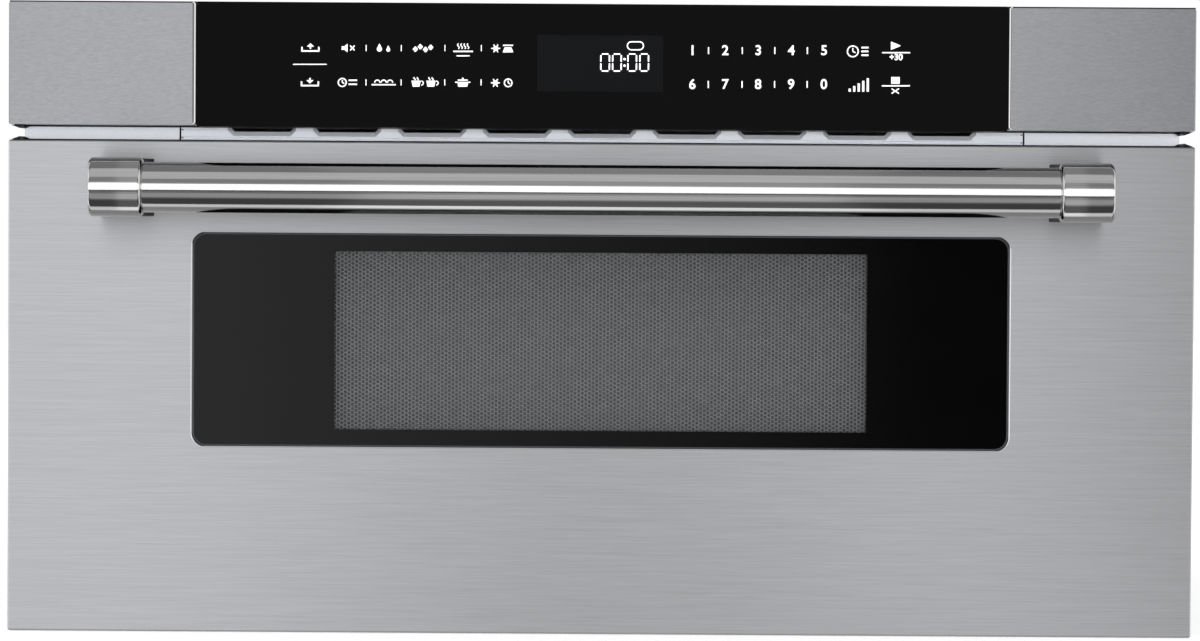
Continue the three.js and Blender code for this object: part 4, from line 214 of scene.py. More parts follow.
def brushed_stainless(name, dark, light, length=45 * MM, width=0.8 * MM):
    """Stainless sheet brushed along its width: fine streaks, with highlights drawn out across them."""
    made, tree, shader = start(name)
    grain = noise(tree, 1.0, 3.0, (1 / length, 1 / width, 1 / width), 0.62)
    dress(tree, shader, {
        "Base Color": shades(tree, (grain, "Fac"), [(0.3, dark), (0.7, light)]),
        "Roughness": levels(tree, (grain, "Fac"), 0.3, 0.38),
        "Normal": bump(tree, (grain, "Fac"), 0.002 * MM, 0.5),
        "Tangent": add(tree, "ShaderNodeCombineXYZ", links={"X": 0.0, "Y": 0.0, "Z": 1.0}),
        "Metallic": 1.0,
        "Anisotropic": 0.7,
    })
    return made


def moulded(name, dark, light, roughness, grain=0.35):
    """Injection-moulded plastic with a spark-eroded texture, its grain a fraction of a millimetre wide."""
    return grained(name, (grain * MM,), dark, light, {"IOR": 1.53},
                   (roughness - 0.06, roughness + 0.06), (0.012 * MM, 0.5))


def clear_glass(name, code, stretch, rough, alpha, ior):
    """Glass that shows what is behind it, with a faint film of handling on its gloss."""
    made, tree, shader = start(name)
    film = noise(tree, 1.0, 3.0, stretch)
    dress(tree, shader, {"Base Color": linear(code), "Roughness": levels(tree, (film, "Fac"), *rough),
                         "Alpha": alpha, "IOR": ior})
    return made


def glowing(name, size, dark, light, plain):
    """A mark that shines in its own colour: the display's lit segments, or print with a painted glow."""
    made, tree, shader = start(name)
    colour = shades(tree, (noise(tree, size), "Fac"), [(0.3, dark), (0.7, light)])
    dress(tree, shader, {"Base Color": colour, "Emission Color": colour, **plain})
    return made


def galvanised_sheet():
    """Hot-dip galvanised steel: dull zinc with crystals about 9 mm across, each a shade of its own."""
    made, tree, shader = start("galvanised_steel")
    crystals = cells(tree, 9 * MM)
    cloud = noise(tree, 1 / 14, 4.0)
    shade = add(tree, "ShaderNodeSeparateColor", {}, {"Color": (crystals, "Color")})
    mixed = add(tree, "ShaderNodeMix", {"data_type": "FLOAT"},
                {"Factor": 0.45, "A": (shade, "Red"), "B": (cloud, "Fac")})
    dress(tree, shader, {
        "Base Color": shades(tree, (mixed, "Result"), [(0.1, "9a9ea1"), (0.9, "bcc0c3")]),
        "Roughness": levels(tree, (shade, "Green"), 0.36, 0.5),
        "Metallic": 0.85,
    })
    return made


def fired_enamel():
    """Grey enamel fired on the oven's steel: satin, with fine paler specks a millimetre or so apart."""
    made, tree, shader = start("cavity_enamel")
    specks = cells(tree, 2.2 * MM)
    wave = noise(tree, 5 * MM)
    dress(tree, shader, {
        "Base Color": shades(tree, (specks, "Distance"), [(0.10, "a2a4a5"), (0.22, "8b8d8f")]),
        "Normal": bump(tree, (wave, "Fac"), 0.03 * MM, 0.35),
        "Roughness": 0.32,
    })
    return made


def ceramic_plate():
    """Dark glass-ceramic floor plate with a sprinkle of paler printed dots 4 mm apart."""
    made, tree, shader = start("ceramic_glass")
    dots = cells(tree, 4 * MM, 0.35)
    dress(tree, shader, {
        "Base Color": shades(tree, (dots, "Distance"), [(0.13, "5b5955"), (0.19, "24221f")]),
        "Roughness": 0.12,
        "IOR": 1.54,
    })
    return made


def mica_sheet():
    """Pressed mica: straw-coloured flakes a few millimetres wide, with a pearly gloss."""
    made, tree, shader = start("mica_board")
    shade = add(tree, "ShaderNodeSeparateColor", {}, {"Color": (cells(tree, 5 * MM), "Color")})
    dress(tree, shader, {
        "Base Color": shades(tree, (shade, "Red"), [(0.0, "a99d82"), (1.0, "cdc3aa")]),
        "Roughness": levels(tree, (shade, "Blue"), 0.3, 0.5),
    })
    return made


def varnished_core():
    """Varnished laminations and enamelled wire: brown stripes half a millimetre apart."""
    made, tree, shader = start("lamination_steel")
    layers = add(tree, "ShaderNodeTexWave", {"bands_direction": "Y"},
                 {"Vector": (place(tree), "Vector"), "Scale": 1 / (12 * MM), "Distortion": 0.3})
    dress(tree, shader, {
        "Base Color": shades(tree, (layers, "Fac"), [(0.2, "4a2a18"), (0.8, "7d4a2c")]),
        "Normal": bump(tree, (layers, "Fac"), 0.1 * MM, 0.5),
        "Roughness": 0.38,
    })
    return made


def solder_mask():
    """Glass-fibre board under green solder mask: glossy, with its woven cloth just showing."""
    made, tree, shader = start("circuit_board")
    weave = add(tree, "ShaderNodeTexChecker", {},
                {"Vector": (place(tree), "Vector"), "Scale": 1 / (0.8 * MM),
                 "Color1": linear("23502f"), "Color2": linear("2a5c37")})
    dress(tree, shader, {"Base Color": weave, "Roughness": 0.28})
    return made


STAINLESS = brushed_stainless("brushed_stainless", "bdbdbe", "cbcbcc")
# Stainless of the panel ends: its finer brushing is its own, and its darker colour is painted shade.
SHADED_PANEL_STAINLESS = brushed_stainless("brushed_stainless_panel_painted_shade", "a5a6a8", "b9babc", 3.6 * MM, 0.6 * MM)
# Stainless tube polished along its length: near mirror, with a faint lengthways grain.
POLISHED = grained("polished_stainless", (1.0, 2.0, (8, 2400, 2400)), "cdccca", "dcdbd9",
                   {"Metallic": 1.0}, (0.07, 0.13), (0.0015 * MM, 0.5))
# Post foot under its polished cap, an even, dark satin with a fine pebble: the darkness is painted shade,
# standing in for the shade the foot sits in.
SHADED_FOOT_STAINLESS = grained("foot_stainless_painted_shade", (0.6 * MM,), "4c4c4e", "58585a",
               {"Metallic": 1.0, "Roughness": 0.5}, relief=(0.01 * MM, 0.5))
GALVANISED = galvanised_sheet()
# Steel sheet with a pale satin powder coat.
FLANGE = grained("flange_steel", (0.6 * MM,), "dfe3ea", "e9ecf2",
                 {"Roughness": 0.38}, relief=(0.01 * MM, 0.4))
# Duct behind the vent slots, coloured near black: painted shade for the deep slots.
SHADED_DUCT = moulded("duct_black_painted_shade", "060607", "09090a", 0.6, 0.8)
BLACK = moulded("black_plastic", "17181a", "1f2022", 0.5)
WHITE = moulded("white_plastic", "cfccc4", "dcd9d1", 0.45)
GEAR = moulded("gear_plastic", "c4c0b4", "d2cec3", 0.4)
# Float glass printed black on its back.
GLASS = grained("black_glass", (1.0, 3.0, (9, 9, 22)), "030303", "040404", {"IOR": 1.52}, (0.01, 0.03))
SMOKED = clear_glass("window_glass", "0c0c0d", (7, 7, 18), (0.01, 0.03), 0.3, 1.52)
# Edge of the float glass, ground and seamed: a matt dark grey that scatters the light.
GROUND = grained("ground_glass_edge", (0.3 * MM,), "33363a", "404347", {"Roughness": 0.55, "IOR": 1.52})
CLEAR = clear_glass("inner_glass", "b9c2c2", (9, 9, 9), (0.04, 0.1), 0.18, 1.5)
# Perforated steel sheet with a thin grey coat.
SCREEN = grained("screen_steel", (6 * MM, 3.0), "707072", "7e7e80", {"Roughness": 0.6})
ENAMEL = fired_enamel()
CERAMIC = ceramic_plate()
MICA = mica_sheet()
# Rolled and cast aluminium: pale, satin, with a soft mottled skin.
ALUMINIUM = grained("aluminium", (7 * MM, 4.0), "c3c5c8", "d6d8da", {"Metallic": 1.0}, (0.26, 0.4))
LAMINATIONS = varnished_core()
BOARD = solder_mask()
# Ground and hardened ball steel in a zinc-plated strip, with a light smear of grease.
BALLS = grained("ball_steel", (4 * MM, 3.0), "b9babc", "d3d4d6", {"Metallic": 1.0}, (0.1, 0.28))
# White screen print on the glass, given a faint painted glow so that it reads at a glance.
PRINT = glowing("white_print_painted_glow", 0.4 * MM, "e6e6e6", "f4f4f4", {"Emission Strength": 0.3, "Roughness": 0.5})
# Display segments: white light through a diffusing film.
LIT = glowing("lit_segment", 0.7 * MM, "fafafa", "ffffff", {"Emission Strength": 1.0})
# Tinted film behind the display's part of the glass, a shade bluer and paler than the print round it.
TINT = grained("display_tint", (1 / 30,), "0c0d0f", "0e0f11", {"Roughness": 0.35, "IOR": 1.3})

FINISH_OF_SLOT = {
    "brushed_stainless": STAINLESS,
    "polished_stainless": POLISHED,
    "flange_steel": FLANGE,
    "galvanised_steel": GALVANISED,
    "cavity_enamel": ENAMEL,
    "black_glass": GLASS,
    "window_glass": SMOKED,
    "inner_glass": CLEAR,
    "ceramic_glass": CERAMIC,
    "screen_steel": SCREEN,
    "black_plastic": BLACK,
    "white_plastic": WHITE,
    "gear_plastic": GEAR,
    "mica_board": MICA,
    "aluminium": ALUMINIUM,
    "lamination_steel": LAMINATIONS,
    "circuit_board": BOARD,
    "ball_steel": BALLS,
}

for part in frame["record"]["subparts"]:
    carried = frame["nodes"][part["node"]]
    carried.data.materials.clear()
    carried.data.materials.append(FINISH_OF_SLOT[part["material_slot"]])
# The duct seen through the slots is coloured near black as painted shade.
frame["nodes"]["exhaust_duct"].data.materials[0] = SHADED_DUCT

# ---- Mesh tools --------------------------------------


def linked(name, data):
    """An object for a mesh, curve, lamp or lens, put in the scene."""
    made = bpy.data.objects.new(name, data)
    bpy.context.scene.collection.objects.link(made)
    return made


def piece(name, vertices, faces, material, smooth=False):
    """A mesh object. Smooth pieces keep edges over 35 degrees sharp."""
    mesh = bpy.data.meshes.new(name)
    mesh.from_pydata([tuple(v) for v in vertices], [], faces)
    mesh.validate()
    mesh.materials.append(material)
    made = linked(name, mesh)
    if smooth:
        mesh.shade_smooth()
        mesh.set_sharp_from_angle(angle=math.radians(35))
    return made


def edit_mesh(made, change):
    """Lets change work on the bmesh of a piece, and writes it back."""
    bm = bmesh.new()
    bm.from_mesh(made.data)
    change(bm)
    bm.to_mesh(made.data)
    bm.free()


def welded(bm):
    """Joins corners that lie on one another."""
    bmesh.ops.remove_doubles(bm, verts=bm.verts, dist=0.01 * MM)


def between(rows, count):
    """Faces between neighbouring rings of corners, each ring count corners long."""
    return [[row * count + i, row * count + (i + 1) % count, (row + 1) * count + (i + 1) % count,
             (row + 1) * count + i] for row in range(rows - 1) for i in range(count)]


def quarter(steps):
    """Sine and cosine at even steps through a quarter turn."""
    for i in range(steps + 1):
        angle = math.radians(90 * i / steps)
        yield math.sin(angle), math.cos(angle)


def keep(made, body, slot, *replaced):
    """Fastens a piece to its body and hides the nodes that it stands for. slot is not used."""
    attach(made, body)
    if replaced:
        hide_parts(*replaced)
    return made


def lathe(profile, side=1, steps=128):
    """Vertices and faces of a profile of (x, radius) turned about the handle's axis, closed where the radius
    is 0. With side -1 it lies on the left."""
    vertices, rings, faces = [], [], []
    for x, radius in profile:
        if radius < 1e-7:
            rings.append([len(vertices)] * steps)
            vertices.append((side * x, BAR_Y, BAR_Z))
        else:
            rings.append(list(range(len(vertices), len(vertices) + steps)))
            for i in range(steps):
                angle = 2 * math.pi * i / steps
                across, up = radius * math.cos(angle), radius * math.sin(angle)
                vertices.append((side * x, BAR_Y + across, BAR_Z + up))
    for before, after in zip(rings, rings[1:]):
        for i in range(steps):
            j = (i + 1) % steps
            corners = [before[i], before[j], after[j], after[i]]
            face = [v for k, v in enumerate(corners) if v not in corners[:k]]
            if len(face) > 2:
                faces.append(face)
    return vertices, faces


def rounded(profile_corner, radius, start_angle, end_angle, steps=6):
    """Points on a quarter round of a lathe profile, angles in degrees."""
    x, r = profile_corner
    for i in range(steps + 1):
        angle = math.radians(start_angle + (end_angle - start_angle) * i / steps)
        yield x + radius * math.cos(angle), r + radius * math.sin(angle)


# ---- Handle ------------------------------------------

CAP_ROUND = 2.6 * MM
BAR_GROWTH = 0.35 * MM  # the tube's polished skin over its solid
BAR_END = HALF_BAR + 2.6 * MM  # the tube runs a little way into each cap
CAP_START = HALF_BAR + 2.3 * MM
EAR = 1.5 * MM  # how far a post's foot reaches inwards past its cap


def handle_bar():
    """Polished tube between the two caps, its edges just broken."""
    edge = 1.1 * MM
    radius = BAR_RADIUS + BAR_GROWTH
    profile = [(-BAR_END, 0), *rounded((-BAR_END + edge, radius - edge), edge, 180, 90, 4)]
    profile += [(-x, r) for x, r in reversed(profile)]
    bar = piece("handle_tube", *lathe(profile), POLISHED, True)
    keep(bar, "drawer", "polished_stainless", "handle_bar")


def named(side):
    return "right" if side > 0 else "left"


def handle_cap(side):
    """Round end cap with soft edges, on the post that flares inwards down to the drawer front."""
    profile = [(CAP_START, 0),
               *rounded((CAP_START + CAP_ROUND, CAP_RADIUS - CAP_ROUND), CAP_ROUND, 180, 90),
               *rounded((HALF_HANDLE - CAP_ROUND, CAP_RADIUS - CAP_ROUND), CAP_ROUND, 90, 0),
               (HALF_HANDLE, 0)]
    replaced = f"handle_post_{named(side)}"
    cap = piece(f"handle_cap_{named(side)}", *lathe(profile, side), POLISHED, True)
    keep(cap, "drawer", "polished_stainless", replaced)
    # The foot's dark colour is painted shade.
    post = piece(f"handle_foot_{named(side)}", *post_form(side), SHADED_FOOT_STAINLESS, True)
    keep(post, "drawer", "polished_stainless", replaced)


def post_form(side):
    """The post, drawn in plan and given rounded upper and lower edges."""
    half_height, edge = CAP_RADIUS - 0.3 * MM, 0.7 * MM
    foot_y = FACE_Y - 0.3 * MM
    inner, outer = CAP_START + CAP_ROUND, HALF_HANDLE - 1 * MM
    flare = EAR + CAP_ROUND
    plan = [(outer, BAR_Y), (outer, foot_y)]
    steps = 12
    for i in range(steps + 1):
        t = i / steps
        y = foot_y + (BAR_Y + 0.7 * CAP_RADIUS - foot_y) * t
        plan.append((inner - flare * (1 - t) ** 2.2, y))
    plan.append((inner, BAR_Y))
    centre_x = sum(p[0] for p in plan) / len(plan)
    heights = [(half_height - edge + edge * up, edge * (1 - out)) for up, out in quarter(6)]
    rows = [(-h, inset) for h, inset in reversed(heights)] + heights
    vertices = []
    for height, inset in rows:
        for x, y in plan:
            pull = inset * (1 if x < centre_x else -1) * (0.9 if y > BAR_Y + 0.5 * CAP_RADIUS else 0)
            vertices.append((side * (x + pull), y, BAR_Z + height))
    count = len(plan)
    faces = between(len(rows), count)
    faces.append(list(range(count))[::-1])
    faces.append([(len(rows) - 1) * count + i for i in range(count)])
    return vertices, faces


handle_bar()
handle_cap(1)
handle_cap(-1)

# ---- Window ------------------------------------------

# Half the width, lower edge and upper edge of the glass, of its clear part and of the screen's sheet.
PANE = high("window_glass").x, low("window_glass").z, high("window_glass").z
VIEW = 170.4 * MM, 120.4 * MM, 234.5 * MM
SHEET = high("window_screen").x, low("window_screen").z, high("window_screen").z
SCREEN_LAP = 4 * MM  # the holes run on behind the printed border by this much
HOLE_PITCH = 2.66 * MM
HOLE_RADIUS = 1.06 * MM
SCREEN_Y = low("window_screen").y
STEEL_CORNER = 7.0 * MM
GLASS_CORNER = 8.8 * MM
GLASS_BEVEL = 1.0 * MM


def rounded_outline(box, radius, grow=0.0, steps=6):
    """Outline in X and Z with round corners, anticlockwise from the lower right. The box is half its width,
    its lower edge and its upper edge, and grows by so much on every side."""
    half, bottom, top = box[0] + grow, box[1] - grow, box[2] + grow
    points = []
    for x, z, first in ((half - radius, bottom + radius, -90), (half - radius, top - radius, 0),
                        (-half + radius, top - radius, 90), (-half + radius, bottom + radius, 180)):
        for i in range(steps + 1):
            angle = math.radians(first + 90 * i / steps)
            points.append((x + radius * math.cos(angle), z + radius * math.sin(angle)))
    return points


def bands(name, outlines, material, smooth=False):
    """A surface stretched between outlines of equal length, each a list of (x, z) and its y."""
    vertices = [(x, y, z) for points, y in outlines for x, z in points]
    return piece(name, vertices, between(len(outlines), len(outlines[0][0])), material, smooth)


def window_border():
    """The part of the window glass that is printed black, open over the view, and its ground outer edge."""
    edge = rounded_outline(PANE, GLASS_CORNER)
    front = rounded_outline(PANE, GLASS_CORNER - GLASS_BEVEL, -GLASS_BEVEL)
    opening = rounded_outline(VIEW, 0.4 * MM)
    rim = bands("window_edge", [(edge, WINDOW_BACK), (edge, WINDOW_Y + 0.5 * GLASS_BEVEL), (front, WINDOW_Y)],
                GROUND)
    keep(rim, "drawer", "window_glass", "window_glass")
    border = bands("window_border", [(front, WINDOW_Y), (opening, WINDOW_Y), (opening, WINDOW_BACK)], GLASS)
    keep(border, "drawer", "window_glass", "window_glass")


def window_pane():
    """The clear part of the window glass, over the view."""
    corners = [(-VIEW[0], VIEW[1]), (VIEW[0], VIEW[1]), (VIEW[0], VIEW[2]), (-VIEW[0], VIEW[2])]
    pane = piece("window_pane", [(x, WINDOW_Y, z) for x, z in corners], [[0, 1, 2, 3]], SMOKED)
    keep(pane, "drawer", "window_glass", "window_glass")


def window_lip():
    """Edge of the steel round the window, rolled in by the press: a narrow round that catches the light,
    and the steel's own face out to the straight edges of its cut-out."""
    gap, roll, face_y = 0.3 * MM, 0.8 * MM, FACE_Y - 0.05 * MM
    outlines = []
    for up, out in quarter(4):
        grow = gap + roll * (1 - out)
        outlines.append((rounded_outline(PANE, GLASS_CORNER + grow, grow), face_y + roll * (1 - up)))
    keep(bands("window_lip", outlines, POLISHED, True), "drawer", "brushed_stainless")
    face = [(rounded_outline(PANE, corner, gap + roll), face_y)
            for corner in (GLASS_CORNER + gap + roll, STEEL_CORNER - 1 * MM)]
    keep(bands("window_corners", face, STAINLESS), "drawer", "brushed_stainless")


def perforated_screen():
    """Steel sheet with real round holes in a hexagonal lattice, two of its six rows of neighbours upright."""
    step = HOLE_PITCH * math.cos(math.radians(30))
    reach = HOLE_PITCH / 2 / math.cos(math.radians(30))
    columns = int((VIEW[0] + SCREEN_LAP) / step)
    rows = int(((VIEW[2] - VIEW[1]) / 2 + SCREEN_LAP) / HOLE_PITCH)
    middle = (VIEW[1] + VIEW[2]) / 2
    vertices, faces, corners = [], [], {}

    def corner(x, z):
        key = round(x / MM * 20), round(z / MM * 20)
        if key not in corners:
            corners[key] = len(vertices)
            vertices.append((x, SCREEN_Y, z))
        return corners[key]

    for i in range(-columns, columns + 1):
        shift = HOLE_PITCH / 2 if i % 2 else 0
        for j in range(-rows, rows + 1 - i % 2):
            x, z = i * step, middle + j * HOLE_PITCH + shift
            around = [corner(x + reach * math.cos(turn), z + reach * math.sin(turn))
                      for turn in (math.radians(60 * k) for k in range(6))]
            ring = len(vertices)
            for k in range(12):
                angle = math.radians(30 * k)
                across, up = HOLE_RADIUS * math.cos(angle), HOLE_RADIUS * math.sin(angle)
                vertices.append((x + across, SCREEN_Y, z + up))
            for k in range(6):
                hole = [ring + (2 * k + 2) % 12, ring + 2 * k + 1, ring + 2 * k]
                faces.append([around[k], around[(k + 1) % 6], *hole])
    screen = piece("perforated_screen", vertices, faces, SCREEN)
    keep(screen, "drawer", "screen_steel", "window_screen")


def screen_margin():
    """Plain edge of the screen's sheet, round the field of holes."""
    outer, inner = rounded_outline(SHEET, 3 * MM), rounded_outline(VIEW, 0.3 * MM, 2.6 * MM)
    margin = bands("screen_margin", [(outer, SCREEN_Y - 0.05 * MM), (inner, SCREEN_Y - 0.05 * MM)], SCREEN)
    keep(margin, "drawer", "screen_steel", "window_screen")


window_border()
window_pane()
window_lip()
perforated_screen()
screen_margin()

# ---- Front gap: trimmed panel, rolled edges, grille ---

PANEL_BOTTOM = low("panel_end_right").z
PANEL_LIFT = 0.95 * MM  # the photograph's panel ends this much higher
TOP_DROP = 0.9 * MM  # a dark rim shows over the steel ends by this much
TAB_INNER = HALF_FRONT - 10.2 * MM
TAB_TRIM = 3.7 * MM
END_BEVEL = 0.45 * MM
STRIP_Y = low("vent_grille").y + 0.5 * MM


def reshaped(name, node, body, slot, lift, material, drop=0.0):
    """A copy of a solid, its lowest edge raised by lift, its top lowered by drop, its corner tabs cut."""
    mesh = frame["nodes"][node].data.copy()
    mesh.transform(frame["nodes"][node].matrix_world)
    for vertex in mesh.vertices:
        x, z = vertex.co.x, vertex.co.z
        share = min(1.0, max(0.0, (PANEL_BOTTOM + 3 * MM - z) / (3 * MM)))
        crown = min(1.0, max(0.0, (z - PANEL_TOP + 3 * MM) / (3 * MM)))
        vertex.co.z = z + lift * share - drop * crown
        if abs(abs(x) - TAB_INNER) < 0.1 * MM:
            vertex.co.x = x + math.copysign(TAB_TRIM, x)
    mesh.materials.clear()
    mesh.materials.append(material)
    return keep(linked(name, mesh), body, slot, node)


def softened(bm):
    """Gives the sharp edges of a mesh a small bevel."""
    welded(bm)
    bmesh.ops.dissolve_limit(bm, angle_limit=math.radians(1), verts=bm.verts, edges=bm.edges)
    sharp = [edge for edge in bm.edges
             if len(edge.link_faces) == 2 and edge.calc_face_angle() > math.radians(50)]
    bmesh.ops.bevel(bm, geom=sharp, offset=END_BEVEL, segments=2, profile=0.5, affect="EDGES",
                    clamp_overlap=True)


def tube(name, path, radius, material, steps=10):
    """A round strip along a path in the XZ plane: path is a list of (x, z), all at one y."""
    vertices = []
    for i, (x, z) in enumerate(path):
        before, after = path[max(i - 1, 0)], path[min(i + 1, len(path) - 1)]
        dx, dz = after[0] - before[0], after[1] - before[1]
        length = math.hypot(dx, dz)
        across = -dz / length, dx / length
        for k in range(steps):
            angle = 2 * math.pi * k / steps
            side = radius * math.cos(angle)
            y = FACE_Y + 0.25 * radius + radius * math.sin(angle)
            vertices.append((x + across[0] * side, y, z + across[1] * side))
    faces = between(len(path), steps)
    faces.append(list(range(steps)))
    faces.append([(len(path) - 1) * steps + k for k in range(steps)][::-1])
    return piece(name, vertices, faces, material, True)


def rolled_edge(side):
    """Bright rolled edge of a steel end beside the glass, turned away from it at both ends."""
    x, bend, radius = 260.5 * MM, 1.5 * MM, 0.62 * MM
    bottom, top = PANEL_BOTTOM + PANEL_LIFT + radius, PANEL_TOP - radius
    path = [(x + bend * (1 - up), bottom + bend * (1 - out)) for up, out in quarter(6)]
    path += [(px, top - (pz - bottom)) for px, pz in reversed(path)]
    edge = tube(f"rolled_edge_{named(side)}", [(side * px, pz) for px, pz in path], radius, POLISHED)
    keep(edge, "chassis", "brushed_stainless")


class Gathered:
    """Faces gathered into one mesh."""

    def __init__(self):
        self.vertices = []
        self.faces = []

    def gather(self, points):
        first = len(self.vertices)
        self.vertices += points
        self.faces.append(list(range(first, len(self.vertices))))


def box_piece(name, x, y, z, material):
    """A plain block between pairs of coordinates."""
    vertices = [(x[i], y[j], z[k]) for k in (0, 1) for j in (0, 1) for i in (0, 1)]
    faces = [[0, 2, 3, 1], [4, 5, 7, 6], [0, 1, 5, 4], [2, 6, 7, 3], [0, 4, 6, 2], [1, 3, 7, 5]]
    return piece(name, vertices, faces, material)


def top_rim():
    """Rim of the panel's moulding, seen as a dark line over the steel ends and the glass."""
    half = HALF_FRONT - 0.5 * MM
    rim = box_piece("panel_top_rim", (-half, half), (FACE_Y + 0.6 * MM, FACE_Y + 7 * MM),
                    (PANEL_TOP - 2.5 * MM, PANEL_TOP - 0.05 * MM), BLACK)
    keep(rim, "chassis", "black_plastic")


class Sheet(Gathered):
    """Folded sheet. Places are millimetres: x, depth behind the face, z."""

    def face(self, *corners):
        self.gather([(x * MM, STRIP_Y + depth * MM, z * MM) for x, depth, z in corners])

    def ribbon(self, x0, x1, profile):
        """A band from x0 to x1 along a profile of (z, depth)."""
        for (z0, d0), (z1, d1) in zip(profile, profile[1:]):
            self.face((x0, d0, z0), (x1, d0, z0), (x1, d1, z1), (x0, d1, z1))


# The grille's own lines, in millimetres.
FOOT, BEND, HEAD = 308.2, 311.9, 329  # a slot's lower edge, its cut corners' upper end, its upper edge
HALF_SLOT, CUT = 22.1, 3.7
SLOT_PITCH = 55
SLOT_OUTER = [(-HALF_SLOT, HEAD), (-HALF_SLOT, BEND), (-18.4, FOOT), (18.4, FOOT), (HALF_SLOT, BEND),
              (HALF_SLOT, HEAD)]
SLOT_INNER = [(-21.2, HEAD), (-21.2, 314.3), (-18.0, 311.1), (18.0, 311.1), (21.2, 314.3), (21.2, HEAD)]
SLOT_DEPTH = 5.0
PLATE_FOOT, PLATE_HEAD = 298, 332
GRILLE_END, SHOULDER_END, VANE_END = 272.2, 250, 268


def grille():
    """Pressed vent plate: nine flared slots, a bead under them, raised shoulders at both ends."""
    plate = Sheet()
    bead = [(PLATE_FOOT, 0), (306.5, 0), (306.7, 1.9), (307.2, 1.9), (307.5, 0), (FOOT, 0)]
    plate.ribbon(-GRILLE_END, GRILLE_END, bead)
    plate.ribbon(-GRILLE_END, GRILLE_END, [(HEAD, 0), (PLATE_HEAD, 0), (PLATE_HEAD, 1.6)])
    middles = [SLOT_PITCH * (i - 4) for i in range(9)]
    for x in middles:
        sides = zip(SLOT_OUTER, SLOT_OUTER[1:], SLOT_INNER, SLOT_INNER[1:])
        for (x0, z0), (x1, z1), (u0, w0), (u1, w1) in sides:
            plate.face((x + x0, 0, z0), (x + x1, 0, z1), (x + u1, SLOT_DEPTH, w1), (x + u0, SLOT_DEPTH, w0))
            plate.face((x + u0, SLOT_DEPTH, w0), (x + u1, SLOT_DEPTH, w1), (x + u1, SLOT_DEPTH + 2, w1),
                       (x + u0, SLOT_DEPTH + 2, w0))
    for x in middles[:-1]:
        left, right = x + HALF_SLOT, x + SLOT_PITCH - HALF_SLOT
        plate.face((left - CUT, 0, FOOT), (right + CUT, 0, FOOT), (right, 0, BEND), (right, 0, HEAD),
                   (left, 0, HEAD), (left, 0, BEND))
    for side in (-1, 1):
        last, shoulder, end = side * (middles[-1] + HALF_SLOT), side * SHOULDER_END, side * GRILLE_END
        plate.face((last - side * CUT, 0, FOOT), (last, 0, BEND), (shoulder, 0, BEND), (shoulder, 0, FOOT))
        plate.face((last, 0, BEND), (last, 0, HEAD), (shoulder, 0, HEAD), (shoulder, 0, BEND))
        raised = [(FOOT, 0), (311.7, 0), (311.8, 2.4), (312.4, 2.4), (312.5, -0.5), (PLATE_HEAD, -0.5)]
        plate.ribbon(*sorted((shoulder, end)), raised)
        plate.face((shoulder, -0.5, 312.5), (shoulder, 0.8, 312.5),
                   (shoulder, 0.8, HEAD), (shoulder, -0.5, HEAD))
        plate.face((end, 0, PLATE_FOOT), (end, 0, PLATE_HEAD), (end, 7, PLATE_HEAD), (end, 7, PLATE_FOOT))
    for vane in ([(314.4, 8.6), (313.5, 4.4), (314.3, 4.4), (315.2, 8.6)],
                 [(319.4, 8.6), (318.2, 4.4), (319.0, 4.4), (320.2, 8.6)]):
        plate.ribbon(-VANE_END, VANE_END, vane)
    made = piece("vent_plate", plate.vertices, plate.faces, FLANGE)
    edit_mesh(made, welded)
    keep(made, "chassis", "flange_steel", "vent_grille")


# The steel ends take the darker stainless, whose extra darkness is painted shade.
for side in ("right", "left"):
    end = reshaped(f"steel_end_{side}", f"panel_end_{side}", "chassis", "brushed_stainless", PANEL_LIFT,
                   SHADED_PANEL_STAINLESS, TOP_DROP)
    edit_mesh(end, softened)
reshaped("panel_glass", "touch_glass", "chassis", "black_glass", PANEL_LIFT, GLASS)
reshaped("panel_moulding", "panel_carrier", "chassis", "black_plastic", PANEL_LIFT, BLACK)
reshaped("drawer_top_moulding", "door_frame_top", "drawer", "black_plastic", 0.0, BLACK)
rolled_edge(1)
rolled_edge(-1)
top_rim()
grille()

# ---- Printing and display on the control panel -------

PIXEL = 1 / 1562.6  # metres to one pixel of the photograph at the front of the panel
PANEL_CENTRE = 602.3  # pixel column of the panel's middle
PANEL_TOP_ROW = 4.3  # pixel row of the panel's top edge, at its middle
ROW_SLOPE = 0.0065  # the photograph is turned by this much, pixel rows per column
INK_Y = GLASS_Y - 0.06 * MM


def at_pixel(column, row):
    """Place on the panel's glass of a pixel of the photograph."""
    level = row - ROW_SLOPE * (column - PANEL_CENTRE)
    return (column - PANEL_CENTRE) * PIXEL, PANEL_TOP - (level - PANEL_TOP_ROW) * PIXEL


def facing_front(bm):
    """Turns the faces that look inwards."""
    for face in bm.faces:
        if face.normal.y > 0:
            face.normal_flip()


class Print(Gathered):
    """Flat printed shapes, drawn in pixels of the photograph."""

    def shape(self, points):
        self.gather([(x, INK_Y, z) for x, z in (at_pixel(*point) for point in points)])

    def stroke(self, start_point, end_point, width):
        (x0, y0), (x1, y1) = start_point, end_point
        length = math.hypot(x1 - x0, y1 - y0)
        dx, dy = -(y1 - y0) / length * width / 2, (x1 - x0) / length * width / 2
        self.shape([(x0 + dx, y0 + dy), (x0 - dx, y0 - dy), (x1 - dx, y1 - dy), (x1 + dx, y1 + dy)])

    def ring(self, centre, radius, width, start_angle=0, end_angle=360, steps=24):
        for i in range(steps):
            a, b = (math.radians(start_angle + (end_angle - start_angle) * k / steps) for k in (i, i + 1))
            inner, outer = radius - width / 2, radius + width / 2
            self.shape([(centre[0] + r * math.cos(t), centre[1] - r * math.sin(t))
                        for r, t in ((inner, a), (outer, a), (outer, b), (inner, b))])

    def disc(self, centre, radius, steps=20):
        turns = [2 * math.pi * i / steps for i in range(steps)]
        self.shape([(centre[0] + radius * math.cos(t), centre[1] - radius * math.sin(t)) for t in turns])

    def finish(self, name, material, slot):
        made = piece(name, self.vertices, self.faces, material)
        edit_mesh(made, facing_front)
        return keep(made, "chassis", slot)


